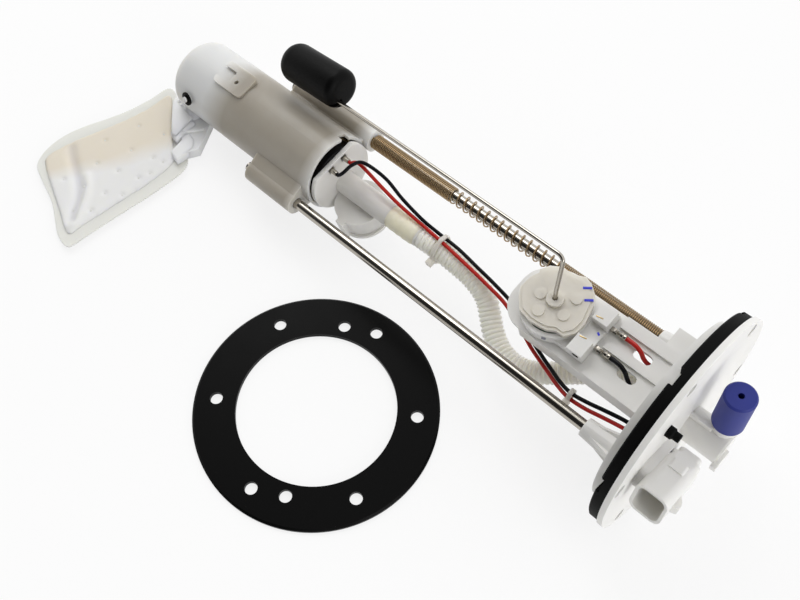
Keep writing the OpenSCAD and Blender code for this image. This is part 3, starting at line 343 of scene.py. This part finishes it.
def add_studio():
    bpy.ops.mesh.primitive_plane_add(size=FLOOR_SIZE, location=(-0.15, 0.0, TABLE_Z))
    floor = bpy.context.object
    floor.name = "floor"
    made, sheet = start_material("floor_paper")
    camera, glossy, transmitted = (sheet.node("LightPath", out=i) for i in (0, 3, 6))
    seen = sheet.math("MAXIMUM", camera, sheet.math("MAXIMUM", glossy, transmitted))
    paper = sheet.node("BsdfDiffuse", None, {"Color": (0.9, 0.9, 0.9, 1.0)})
    glow = sheet.node("Emission", None, {"Color": WHITE, "Strength": 1.0})
    mixed = sheet.node("MixShader", None, {0: seen * FLOOR_GLOW, 1: paper, 2: glow})
    sheet.node("OutputMaterial", None, {"Surface": mixed})
    floor.data.materials.append(made)
    world = bpy.data.worlds.new("studio_air")
    world.use_nodes = True
    world.node_tree.nodes.clear()
    air = Link(world.node_tree)
    way = air.node("TexCoord", out=0)
    facing = air.node("VectorMath", {"operation": "DOT_PRODUCT"}, {0: way, 1: DARK_SIDE}, out=1)
    room = air.node("Background", None, {"Color": facing.ramp(*ROOM_STOPS), "Strength": ROOM_STRENGTH})
    white = air.node("Background", None, {"Color": WHITE, "Strength": 1.0})
    both = air.node("MixShader", None, {0: air.node("LightPath", out=0), 1: room, 2: white})
    air.node("OutputWorld", None, {"Surface": both})
    bpy.context.scene.world = world
    for name, place, size, power in LAMPS:
        lamp = bpy.data.lights.new(name, "AREA")
        lamp.size = size
        lamp.energy = power
        holder = bpy.data.objects.new(name, lamp)
        bpy.context.scene.collection.objects.link(holder)
        holder.location = place
        holder.rotation_euler = (Vector(place) - LAMPS_AIM).to_track_quat("Z", "Y").to_euler()
    bpy.context.scene.view_settings.view_transform = "Standard"


BODY = {name: body for body, names in frame["record"]["behaviour"]["bodies"].items() for name in names}


# Modelling helpers
def deselect():
    for other in bpy.context.view_layer.objects:
        other.select_set(False)


def pick(piece):
    deselect()
    piece.select_set(True)
    bpy.context.view_layer.objects.active = piece


def use(piece, kind, **settings):
    """Adds a modifier to a piece and applies it."""
    pick(piece)
    added = piece.modifiers.new(kind.lower(), kind)
    for name, value in settings.items():
        setattr(added, name, value)
    bpy.ops.object.modifier_apply(modifier=added.name)


def place(piece, matrix=None):
    """Puts a piece's own place, and a matrix after it, into its mesh."""
    bpy.context.view_layer.update()
    piece.data.transform((matrix or Matrix.Identity(4)) @ piece.matrix_world)
    piece.matrix_world = Matrix.Identity(4)


def smooth(piece, angle=40.0):
    pick(piece)
    bpy.ops.object.shade_smooth_by_angle(angle=math.radians(angle))


def hand_over(piece, slot, node):
    """Finishes a piece, lets it ride on its body and takes the place of its CAD node."""
    finish(piece, slot)
    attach(piece, BODY[node])
    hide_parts(node)


def new_mesh(name, points, faces):
    mesh = bpy.data.meshes.new(name)
    mesh.from_pydata([tuple(p) for p in points], [], faces)
    piece = bpy.data.objects.new(name, mesh)
    bpy.context.scene.collection.objects.link(piece)
    return piece


def joined(name, parts):
    pick(parts[0])
    for part in parts[1:]:
        part.select_set(True)
    bpy.ops.object.join()
    parts[0].name = name
    return parts[0]


def softened(node, width):
    """A copy of a CAD node with its hard edges rounded."""
    piece = new_mesh(node + "_soft", [], [])
    piece.data = frame["nodes"][node].data.copy()
    pick(piece)
    bpy.ops.object.mode_set(mode="EDIT")
    bpy.ops.mesh.select_all(action="SELECT")
    bpy.ops.mesh.remove_doubles(threshold=0.00001)
    bpy.ops.mesh.dissolve_limited(angle_limit=math.radians(0.4))
    bpy.ops.object.mode_set(mode="OBJECT")
    use(piece, "BEVEL", width=width * MM, segments=2, limit_method="ANGLE", angle_limit=math.radians(35),
        use_clamp_overlap=True)
    smooth(piece)
    return piece


# Paths and tubes, in the module's own millimetres
def evenly(points, step):
    """The same line with its points a step apart."""
    count = max(2, round(sum((b - a).length for a, b in zip(points, points[1:])) / step))
    gone = [0.0]
    for a, b in zip(points, points[1:]):
        gone.append(gone[-1] + (b - a).length)
    spread = []
    at = 0
    for i in range(count + 1):
        want = gone[-1] * i / count
        while at < len(points) - 2 and gone[at + 1] < want:
            at += 1
        span = max(gone[at + 1] - gone[at], 1e-9)
        spread.append(points[at].lerp(points[at + 1], (want - gone[at]) / span))
    return spread


def flowing(points, step, closed=False):
    """A smooth line through the points."""
    points = [Vector(p) for p in points]
    count = len(points)
    dense = []
    for i in range(count if closed else count - 1):
        if closed:
            before, a, b, after = (points[(i + k) % count] for k in (-1, 0, 1, 2))
        else:
            before, a, b, after = (points[min(max(i + k, 0), count - 1)] for k in (-1, 0, 1, 2))
        for k in range(16):
            t = k / 16
            dense.append(0.5 * (2 * a + (b - before) * t + (2 * before - 5 * a + 4 * b - after) * t * t
                                + (3 * a - before - 3 * b + after) * t * t * t))
    dense.append(points[0] if closed else points[-1])
    return evenly(dense, step)


def bent(points, radius, step):
    """Straight runs with round bends."""
    points = [Vector(p) for p in points]
    line = [points[0]]
    for before, corner, after in zip(points, points[1:], points[2:]):
        come, go = (before - corner), (after - corner)
        reach = min(radius, come.length * 0.48, go.length * 0.48)
        a, b = corner + come.normalized() * reach, corner + go.normalized() * reach
        for k in range(9):
            t = k / 8
            line.append((1 - t) ** 2 * a + 2 * t * (1 - t) * corner + t * t * b)
    line.append(points[-1])
    return evenly(line, step)


def tube(name, path, radius, sides=16):
    """A round tube along a path. The radius is a number, or a function of the distance gone."""
    heading = (path[1] - path[0]).normalized()
    across = heading.orthogonal().normalized()
    points, faces, gone = [], [], 0.0
    for i, spot in enumerate(path):
        ahead = (path[min(i + 1, len(path) - 1)] - path[max(i - 1, 0)]).normalized()
        across = (heading.rotation_difference(ahead) @ across).normalized()
        heading = ahead
        gone += (spot - path[i - 1]).length if i else 0.0
        r = radius(gone) if callable(radius) else radius
        other = heading.cross(across)
        points += [laid(*(spot + r * (math.cos(a) * across + math.sin(a) * other)))
                   for a in (2 * math.pi * k / sides for k in range(sides))]
    last = len(path) - 1
    for i in range(last):
        for k in range(sides):
            a, b = i * sides + k, i * sides + (k + 1) % sides
            faces.append((a, b, b + sides, a + sides))
    faces.append(tuple(reversed(range(sides))))
    faces.append(tuple(range(last * sides, (last + 1) * sides)))
    piece = new_mesh(name, points, faces)
    smooth(piece, 50)
    return piece


def crossing(piece, slot, node=None, look=None):
    """For a soft piece between the flange and the sliding cup."""
    finish(piece, slot, look)
    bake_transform(piece)
    if node:
        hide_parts(node)


# Hose, wires and ties
HOSE = [(-6, 0, 200.6), (-6, 0, 190), (-6.4, 0.2, 177), (-8, 0.9, 164), (-10, 1, 153), (-12, 0.6, 142),
        (-14, -1.1, 133.3), (-17, -4, 126), (-20, -9.1, 119.8), (-22.4, -14.6, 113.4),
        (-24.2, -19.4, 105.4), (-25, -21.8, 96.5), (-25, -21.3, 87.5), (-24.2, -17.8, 79),
        (-22.4, -12, 70.6), (-19.6, -6, 62), (-16, -0.4, 53.4), (-11.6, 4.6, 44.4), (-7.4, 7.8, 35.4),
        (-4.8, 9.1, 27.5), (-4.5, 9.3, 24), (-4.5, 9.3, 6)]
RED = [(11.8, 6.4, 237.5), (11.8, 6.4, 236), (12.8, 8.6, 232), (11.5, 8.2, 224.8), (8, 6.5, 211.2),
       (4.5, 5.1, 196.7), (1.2, 4.6, 181.3), (-0.8, 3.7, 165.2), (-1.8, 2.7, 153.3), (-3, 1.5, 140.8),
       (-4.5, 0, 127), (-6, -2, 113.2), (-7, -6.7, 99.5), (-7, -12.3, 86.8), (-6.6, -15.4, 78),
       (-6.2, -18, 69.9), (-5, -20.8, 61.5), (-4, -22.6, 52.7), (-3, -22.2, 43), (-2, -20.6, 33.5),
       (-1, -19.4, 26), (0, -18.4, 18), (0, -18, 11), (0, -18, 3.5)]
BLACK = [(11.8, -4, 237.5), (11.8, -4, 236.2), (14.4, -1.6, 233.4), (16, 4.6, 231.6), (15.2, 10, 227.4),
         (11, 11.3, 212.5), (6.5, 8.5, 197.1), (2, 6.8, 181.2), (-2, 7, 169), (-2.2, 6.4, 154),
         (-3, 4.6, 139), (-4.2, 2.8, 124.2), (-5, 0.3, 110), (-5, -4.4, 97.9), (-5, -9.8, 86.8),
         (-4.4, -13.4, 77.5), (-3.6, -16.4, 68.6), (-2.4, -19.2, 60), (-1.4, -20.4, 52), (-0.4, -19.4, 43),
         (0.4, -17.6, 34), (0.6, -15.8, 25), (0.6, -14.6, 16), (0.6, -14.2, 11), (0.6, -14.2, 3.5)]
LEAD_RED = [(14.2, 15.2, 46), (14.2, 15.2, 44.5), (14.8, 15, 41.5), (14.8, 14.6, 38.5), (13.2, 13.9, 35.6),
            (10, 13.3, 33.8), (6.8, 13.3, 31.4), (4.8, 13.8, 27.5), (4.2, 14.6, 21), (4.2, 15, 14),
            (4.2, 15, 3.5)]
LEAD_BLACK = [(14.2, 2.4, 46), (14.2, 2.4, 44.5), (14.8, 2.2, 41.5), (14.8, 1.8, 38.5), (13.2, 1, 35.6),
              (10, 0.2, 33.8), (6.8, -0.8, 31.4), (4.8, -1.8, 27.5), (4.4, -2.6, 21), (4.4, -3, 14),
              (4.4, -3, 3.5)]
HOSE_R, HOSE_PITCH, HOSE_GROOVE, HOSE_STEP = 6.5, 2.75, 0.95, 0.34
CUFF_LEN, CUFF_R, CUFF_STARTS = 21.0, 7.0, (-6, 0, 204.5)


def bellows(gone):
    """Radius of the corrugated hose: wide round ribs with narrow grooves."""
    turn = (gone / HOSE_PITCH) % 1.0
    return HOSE_R - HOSE_GROOVE * math.exp(-((turn - 0.5) / 0.2) ** 2)


def cuff_radius(gone):
    """Radius of the cuff: a small chamfer, two soft swellings and a taper onto the hose."""
    swell = 0.22 * math.sin(gone * 0.62) ** 2 if 3 < gone < 20 else 0.0
    return CUFF_R + swell - (0.6 if gone < 0.5 else 0.0) - max(0.0, gone - 22.5) * 0.35


def hose_pieces():
    line = flowing(HOSE, HOSE_STEP)
    at = round(CUFF_LEN / HOSE_STEP)
    crossing(tube("hose_bellows", line[at:], bellows, 28), "hose_cream", "fuel_hose")
    cuff_line = [Vector(CUFF_STARTS)] + line[0:at + 3]
    crossing(tube("hose_cuff", cuff_line, cuff_radius, 32), "hose_cream", look=CUFF_FINISH)


WIRE_R, LEAD_R = 1.1, 1.2


def wire_pieces():
    for name, route, slot, node in (("wire_red_long", RED, "wire_red", "pump_wire_red"),
                                    ("wire_black_long", BLACK, "wire_black", "pump_wire_black")):
        crossing(tube(name, flowing(route, 1.0), WIRE_R, 14), slot, node)
    for name, route, slot, node in (("lead_red", LEAD_RED, "wire_red", "sender_lead_red"),
                                    ("lead_black", LEAD_BLACK, "wire_black", "sender_lead_black")):
        hand_over(tube(name, flowing(route, 0.6), LEAD_R, 14), slot, node)
    crossing(softened("cable_ties", 0.2), "mould_clear", "cable_ties")


# Return spring: wound as three runs on the far rod
SPRING_START, OPEN_START, OPEN_END, SPRING_END = 36.3, 101.3, 178.0, 241.7
COIL_R, SPRING_WIRE = 4.3, 0.45
ROD_SIDE = 29.95


def wound(name, start, end, turns):
    deselect()
    bpy.ops.mesh.primitive_circle_add(vertices=8, radius=SPRING_WIRE * MM, location=(COIL_R * MM, 0, 0),
                                      rotation=(math.pi / 2, 0, 0))
    run = bpy.context.object
    run.name = name
    place(run)
    use(run, "SCREW", angle=2 * math.pi, screw_offset=(end - start) / turns * MM, iterations=turns, steps=16,
        render_steps=16, axis="Z", use_smooth_shade=True)
    place(run, LAID @ Matrix.Translation(Vector((0, ROD_SIDE, start)) * MM))
    return run


def spring_piece():
    runs = [wound("close_turns_flange", SPRING_START, OPEN_START, 56),
            wound("open_turns", OPEN_START, OPEN_END, 15),
            wound("close_turns_cup", OPEN_END, SPRING_END, 55)]
    coil = joined("coil_spring", runs)
    bpy.ops.object.mode_set(mode="EDIT")
    bpy.ops.mesh.select_all(action="SELECT")
    bpy.ops.mesh.remove_doubles(threshold=0.00002)
    bpy.ops.mesh.fill_holes(sides=0)
    bpy.ops.mesh.normals_make_consistent(inside=False)
    bpy.ops.object.mode_set(mode="OBJECT")
    smooth(coil, 60)
    finish(coil, "spring_steel")
    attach(coil, "flange")
    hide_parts("return_spring")
    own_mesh(coil)


# Regulator spring: it stands on the can's floor and rides with the cup
VALVE_SPRING_LOW, VALVE_SPRING_LEN = (-21.8, -4, 227), 6.8
VALVE_COIL_R, VALVE_WIRE, VALVE_TURNS, VALVE_LIFT = 5.0, 0.45, 4, 1.0


def valve_spring_piece():
    deselect()
    bpy.ops.mesh.primitive_circle_add(vertices=10, radius=VALVE_WIRE * MM, fill_type="NGON",
                                      location=(VALVE_COIL_R * MM, 0, VALVE_WIRE * MM),
                                      rotation=(math.pi / 2, 0, 0))
    coil = bpy.context.object
    coil.name = "valve_coil"
    place(coil)
    pitch = (VALVE_SPRING_LEN - 2 * VALVE_WIRE) / VALVE_TURNS
    use(coil, "SCREW", angle=2 * math.pi, screw_offset=pitch * MM, iterations=VALVE_TURNS, steps=24,
        render_steps=24, axis="Z", use_smooth_shade=True)
    bpy.ops.object.mode_set(mode="EDIT")
    bpy.ops.mesh.select_all(action="SELECT")
    bpy.ops.mesh.normals_make_consistent(inside=False)
    bpy.ops.object.mode_set(mode="OBJECT")
    stand = Matrix.Translation(Vector(VALVE_SPRING_LOW) * MM) @ Matrix.Rotation(math.pi / 2, 4, "Y")
    place(coil, LAID @ stand)
    smooth(coil, 60)
    finish(coil, NODE_SLOT["regulator_spring"])
    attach(coil, "cup")
    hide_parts("regulator_spring")
    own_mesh(coil)


# Float arm with its round bends
ARM = [(15.8, 7.5, 83.5), (28, 7.5, 83.5), (48.2, 20.0, 86.4), (32, 26.3, 261), (31.6, 32, 264.5)]
ARM_R, ARM_BEND = 1.15, 4.2


def arm_piece():
    hand_over(tube("float_wire", bent(ARM, ARM_BEND, 0.7), ARM_R), "steel", "float_arm")


# Strainer bag, from its outline on the table
OUTER_RIM = [(-395, -15), (-398, -32), (-401, -48), (-406, -63), (-411, -76), (-414, -88), (-414, -101),
             (-411, -111), (-406, -117), (-395, -121), (-378, -126), (-366, -132), (-355, -138),
             (-346, -140), (-342, -139), (-341, -134), (-340, -119), (-338, -97), (-336, -74), (-337, -50),
             (-352, -39), (-374, -24)]
INNER_RIM = [(-390, -19), (-392, -35), (-395, -52), (-401, -73), (-406, -90), (-408, -107), (-403, -113),
             (-387, -120), (-369, -127), (-350, -134), (-348, -124), (-346, -102), (-344, -80),
             (-344, -60), (-348, -50), (-366, -38)]
WELD_DOTS = [(-390.6, -73.8), (-384.3, -50.9), (-371.9, -66.9), (-379.5, -88.9), (-364.8, -83.0),
             (-356.7, -60.7), (-366.8, -43.7), (-384.4, -111.3), (-370.1, -105.7), (-356.9, -99.4),
             (-350.9, -77.1), (-347.6, -92.6), (-361.0, -121.2), (-352.5, -113.6), (-349.5, -58.1),
             (-348.5, -69.9)]
CREASE = [(-402, -93), (-395, -97), (-383, -102.6), (-372, -108.4), (-365, -114.6), (-360.7, -121),
          (-356, -126)]
RIDGE = [(-376, -99), (-369.8, -102.9), (-364.6, -107.7), (-359.6, -114.3), (-353.9, -123.0), (-351, -128)]
RIM_LOW, RIM_HIGH, BAG_LOW, BAG_HIGH = 3.4, 4.5, 2.6, 6.2
BAG_VOXEL, BAG_SWELLS, BAG_FRAMES, PINKING = 1.35, 3.4, 20, 0.38
RIDGE_HIGH, CREASE_DEEP, DOT_DEEP = 1.3, 1.7, 0.9
RIDGE_WIDE, CREASE_WIDE, DOT_WIDE = 2.6, 3.2, 1.3


def on_bag(x, y, height):
    """A point of the frame from x and y in millimetres and a height over the table."""
    return Vector((x * MM, y * MM, TABLE_Z + height * MM))


def slab(name, outline, low, high):
    """A plate with this outline between two heights over the table."""
    count = len(outline)
    points = [on_bag(x, y, z) for z in (low, high) for x, y in outline]
    faces = [tuple(reversed(range(count))), tuple(range(count, 2 * count))]
    faces += [(i, (i + 1) % count, (i + 1) % count + count, i + count) for i in range(count)]
    piece = new_mesh(name, points, faces)
    pick(piece)
    bpy.ops.object.mode_set(mode="EDIT")
    bpy.ops.mesh.select_all(action="SELECT")
    bpy.ops.mesh.normals_make_consistent(inside=False)
    bpy.ops.object.mode_set(mode="OBJECT")
    return piece


def away_from(spot, line):
    """Distance of a point from a line of points, in the plane."""
    best = 1e9
    for a, b in zip(line, line[1:]):
        a, b = Vector(a[:2]), Vector(b[:2])
        share = min(max((spot - a).dot(b - a) / max((b - a).length_squared, 1e-9), 0.0), 1.0)
        best = min(best, (spot - a.lerp(b, share)).length)
    return best


def bag_cloth():
    """Two layers of mesh, blown up a little between the rim, the weld dots and the crease."""
    edge = flowing([(x, y, 0) for x, y in INNER_RIM], 2.0, closed=True)
    bag = slab("strainer_cloth", [(p.x, p.y) for p in edge[:-1]], BAG_LOW, BAG_HIGH)
    use(bag, "REMESH", mode="VOXEL", voxel_size=BAG_VOXEL * MM, adaptivity=0.0)
    start = [v.co.copy() for v in bag.data.vertices]
    held = bag.vertex_groups.new(name="held")
    rim_line = [(p.x, p.y) for p in edge]
    free = []
    for vertex in bag.data.vertices:
        spot = Vector((vertex.co.x, vertex.co.y)) / MM
        dot = min((spot - Vector(d)).length for d in WELD_DOTS)
        rim = away_from(spot, rim_line)
        fold = away_from(spot, CREASE)
        if rim < 1.2 or dot < 1.1 or fold < 0.8:
            held.add([vertex.index], 1.0, "REPLACE")
        free.append(min(1.0, rim / 9.0, 0.28 + dot / 6.0, 0.35 + fold / 6.0))
    pick(bag)
    cloth = bag.modifiers.new("cloth", "CLOTH")
    cloth.settings.quality = 6
    cloth.settings.mass = 0.15
    cloth.settings.tension_stiffness = 8
    cloth.settings.compression_stiffness = 8
    cloth.settings.bending_stiffness = 0.3
    cloth.settings.use_pressure = True
    cloth.settings.uniform_pressure_force = 4
    cloth.settings.vertex_group_mass = "held"
    cloth.settings.effector_weights.gravity = 0
    cloth.point_cache.frame_start = 1
    cloth.point_cache.frame_end = BAG_FRAMES
    for step in range(1, BAG_FRAMES + 1):
        bpy.context.scene.frame_set(step)
    bpy.ops.object.modifier_apply(modifier=cloth.name)
    bpy.context.scene.frame_set(1)
    for vertex, before, room in zip(bag.data.vertices, start, free):
        push = vertex.co - before
        most = BAG_SWELLS * MM * max(room, 0.0)
        if push.length > most:
            push *= most / push.length
        vertex.co = before + push
        vertex.co.z = max(vertex.co.z, TABLE_Z + 0.4 * MM)
    use(bag, "SMOOTH", factor=0.5, iterations=3)
    middle = TABLE_Z + (BAG_LOW + BAG_HIGH) / 2 * MM
    for vertex in bag.data.vertices:
        spot = Vector((vertex.co.x, vertex.co.y)) / MM
        if vertex.co.z > middle and away_from(spot, rim_line) > 1.6:
            dot = min((spot - Vector(d)).length for d in WELD_DOTS)
            fold, ridge = away_from(spot, CREASE), away_from(spot, RIDGE)
            vertex.co.z += (RIDGE_HIGH * math.exp(-(ridge / RIDGE_WIDE) ** 2)
                            - CREASE_DEEP * math.exp(-(fold / CREASE_WIDE) ** 2)
                            - DOT_DEEP * math.exp(-(dot / DOT_WIDE) ** 2)) * MM
            vertex.co.z = max(vertex.co.z, middle + 0.4 * MM)
    use(bag, "SUBSURF", levels=1, render_levels=1)
    smooth(bag, 180)
    finish(bag, "cloth")
    return bag


def bag_rim():
    """Flat welded edge with a finely pinked outline."""
    edge = flowing([(x, y, 0) for x, y in OUTER_RIM], 0.8, closed=True)[:-1]
    if len(edge) % 2:
        edge = edge[:-1]
    outline = []
    for i, spot in enumerate(edge):
        along = (edge[(i + 1) % len(edge)] - edge[i - 1]).normalized()
        out = Vector((along.y, -along.x, 0)) * (PINKING if i % 2 else -PINKING)
        outline.append((spot.x + out.x, spot.y + out.y))
    rim = slab("strainer_rim", outline, RIM_LOW, RIM_HIGH)
    finish(rim, "cloth", RIM_FINISH)
    return rim


def weld_marks(bag):
    """Small pressed discs at the bottoms of the dimples."""
    marks = []
    for x, y in WELD_DOTS:
        near = [v.co.z for v in bag.data.vertices
                if abs(v.co.x - x * MM) < 0.9 * MM and abs(v.co.y - y * MM) < 0.9 * MM]
        disc = lathe("weld_mark", [(0.7, -0.3), (0.7, 0.05), (0.45, 0.12)], 10)
        place(disc, Matrix.Translation(Vector((x * MM, y * MM, max(near) - 0.02 * MM))))
        marks.append(disc)
    marks = joined("weld_marks", marks)
    finish(marks, "cloth", RIM_FINISH)
    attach(marks, "cup")


NECK_LOW = 3.2
NECK_FORMS = (
    ("lug", [(-380, -24), (-379, -15.5), (-376.6, -15.2), (-376.2, -22.5), (-359, -23.8), (-355.4, -40.7),
             (-358, -42.2), (-364, -38)], 12.6),
    ("bar_middle", [(-362, -41.5), (-359.4, -24.5), (-354.6, -24.8), (-352.6, -43.5)], 11.4),
    ("bar_end", [(-350, -51), (-353.5, -32.2), (-345.7, -33.8), (-340.8, -38.5), (-341.4, -53)], 10.6))


def neck_blocks():
    """Raised lug and bars of the neck, between the bag and the cup."""
    forms = []
    for name, outline, high in NECK_FORMS:
        form = slab(name, outline, NECK_LOW, high)
        use(form, "BEVEL", width=1.8 * MM, segments=4, limit_method="ANGLE", angle_limit=math.radians(25))
        forms.append(form)
    blocks = joined("neck_blocks", forms)
    smooth(blocks, 50)
    finish(blocks, "mould_clear", NODE_FINISH["strainer_neck"])
    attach(blocks, "cup")


def strainer_piece():
    bag = bag_cloth()
    weld_marks(bag)
    bag = joined("strainer_pouch", [bag, bag_rim()])
    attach(bag, "cup")
    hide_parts("strainer_bag")


# Turned and boxed pieces
def lathe(name, profile, sides=24):
    """A turned piece about its own z: (radius, height) pairs, made by extruding a circle and scaling it."""
    deselect()
    first_r, first_z = profile[0]
    bpy.ops.mesh.primitive_circle_add(vertices=sides, radius=first_r * MM, fill_type="NGON",
                                      location=(0, 0, first_z * MM))
    piece = bpy.context.object
    piece.name = name
    bpy.ops.object.mode_set(mode="EDIT")
    bpy.ops.mesh.select_all(action="SELECT")
    for (r0, z0), (r1, z1) in zip(profile, profile[1:]):
        bpy.ops.mesh.extrude_region_move(TRANSFORM_OT_translate={"value": (0, 0, (z1 - z0) * MM)})
        bpy.ops.transform.resize(value=(r1 / r0, r1 / r0, 1.0))
    bpy.ops.mesh.select_all(action="SELECT")
    bpy.ops.mesh.normals_make_consistent(inside=False)
    bpy.ops.object.mode_set(mode="OBJECT")
    place(piece)
    smooth(piece, 35)
    return piece


def block(name, low, high, bevel=0.2, segments=2):
    """A box between two corners with rounded edges."""
    deselect()
    low, high = Vector(low), Vector(high)
    bpy.ops.mesh.primitive_cube_add(size=1.0, location=(low + high) / 2 * MM)
    piece = bpy.context.object
    piece.name = name
    bpy.ops.object.mode_set(mode="EDIT")
    bpy.ops.mesh.select_all(action="SELECT")
    bpy.ops.transform.resize(value=(high - low) * MM, center_override=(low + high) / 2 * MM)
    bpy.ops.mesh.bevel(offset=bevel * MM, segments=segments, affect="EDGES")
    bpy.ops.object.mode_set(mode="OBJECT")
    place(piece)
    smooth(piece, 35)
    return piece


# Crimped terminals of the sender: tab, ribbed neck and insulation barrel
def crimp_piece():
    parts = []
    for y in (15.2, 2.4):
        barrel = lathe("barrel", [(1.45, 0), (1.75, 0.3), (1.75, 1.5), (1.55, 1.8), (1.75, 2.1), (1.75, 3.2),
                                  (1.4, 3.6)])
        place(barrel, Matrix.Translation(Vector((14.2, y, 45.6)) * MM))
        neck = lathe("neck", [(1.0, 0), (1.05, 0.6), (0.8, 0.9), (1.05, 1.2), (0.8, 1.5), (1.05, 1.8),
                              (0.8, 2.1), (1.05, 2.4), (0.7, 3.2)], 16)
        place(neck, Matrix.Translation(Vector((14.1, y, 49.0)) * MM))
        tab = block("tab", (13.35, y - 1.4, 51.0), (13.95, y + 1.4, 55.6), 0.12)
        parts += [barrel, neck, tab]
    terminals = joined("sender_terminals", parts)
    place(terminals, LAID)
    hand_over(terminals, "steel", "crimp_terminals")


# Paint marks, slots, and painted shade in openings and at a clip on the sender
MARKS = (
    ("paint_stroke_a", (23.2, 22.4, 75.0), (0.3, 4.6, 1.4), -54, PAINT_BLUE),
    ("paint_stroke_b", (23.2, 17.5, 70.3), (0.3, 4.6, 1.4), -54, PAINT_BLUE),
    ("paint_dab", (19.0, 7.4, 56.6), (0.3, 1.9, 1.1), 60, PAINT_BLUE),
    ("slot_a", (21.95, 13.9, 60.8), (0.3, 4.0, 0.7), -80, SLOT_BRASS),
    ("slot_b", (21.95, 0.6, 60.6), (0.3, 4.0, 0.7), -80, SLOT_BRASS),
    # painted shade: a dark block for the shade inside the latch eye
    ("latch_eye_shade", (22.4, -0.6, 98.0), (0.4, 0.9, 0.9), 0, HOLE_SHADE_PAINT),
    # painted shade: a grey block for the shade at the clip
    ("clip_shade", (17.2, -10.4, 77.0), (1.6, 1.6, 2.2), 20, CLIP_SHADE_PAINT))


def sender_marks():
    """Paint strokes, contact slots, and dark pieces that are painted shade in two openings and at a clip on
    the sender.
    """
    for name, spot, size, turn, made in MARKS:
        stroke = block(name, [-h / 2 for h in size], [h / 2 for h in size], 0.12)
        place(stroke, Matrix.Translation(Vector(spot) * MM) @ Matrix.Rotation(math.radians(turn), 4, "X"))
        place(stroke, LAID)
        finish(stroke, "mould_white", made)
        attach(stroke, "flange")
    # painted shade: a dark disc for the shade inside the side opening
    eye = lathe("side_opening_shade", [(1.9, -0.2), (1.9, 0.1), (1.6, 0.2)], 20)
    place(eye, LAID @ Matrix.Translation(Vector((19.4, -8.6, 58.4)) * MM)
          @ Matrix.Rotation(math.pi / 2, 4, "X") @ Matrix.Diagonal((0.62, 1.0, 1.0, 1.0)))
    finish(eye, "mould_white", HOLE_SHADE_PAINT)
    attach(eye, "flange")


FLOAT_MID, FLOAT_D, FLOAT_LEN, FLOAT_LEAN = (33, 32.2, 282), 24.0, 49.0, -5
LIP_R, CAP_R = 5.5, 8.0


def float_piece():
    """Black float with round ends and the slot that the wire snaps into."""
    half = FLOAT_D / 2
    quarter = [math.radians(t) for t in range(0, 91, 10)]
    profile = [(half - LIP_R + LIP_R * math.cos(a), LIP_R - LIP_R * math.sin(a)) for a in reversed(quarter)]
    profile += [(half - CAP_R + CAP_R * math.cos(a), FLOAT_LEN - CAP_R + CAP_R * math.sin(a))
                for a in quarter]
    body = lathe("float_body", profile, 56)
    place(body, Matrix.Translation(Vector(FLOAT_MID) * MM) @ Matrix.Rotation(math.radians(FLOAT_LEAN), 4, "Y")
          @ Matrix.Translation(Vector((0, 0, -FLOAT_LEN / 2)) * MM))
    slot = block("slot", (30.2, 17, 254), (33.0, 28.4, 268.5), 0.3)
    use(body, "BOOLEAN", object=slot, operation="DIFFERENCE", solver="EXACT")
    bpy.data.objects.remove(slot)
    place(body, LAID)
    smooth(body, 35)
    hand_over(body, "float_foam", "float")


hose_pieces()
wire_pieces()
spring_piece()
sender_marks()
arm_piece()
strainer_piece()
neck_blocks()
valve_spring_piece()
crimp_piece()
float_piece()

add_camera()
add_studio()
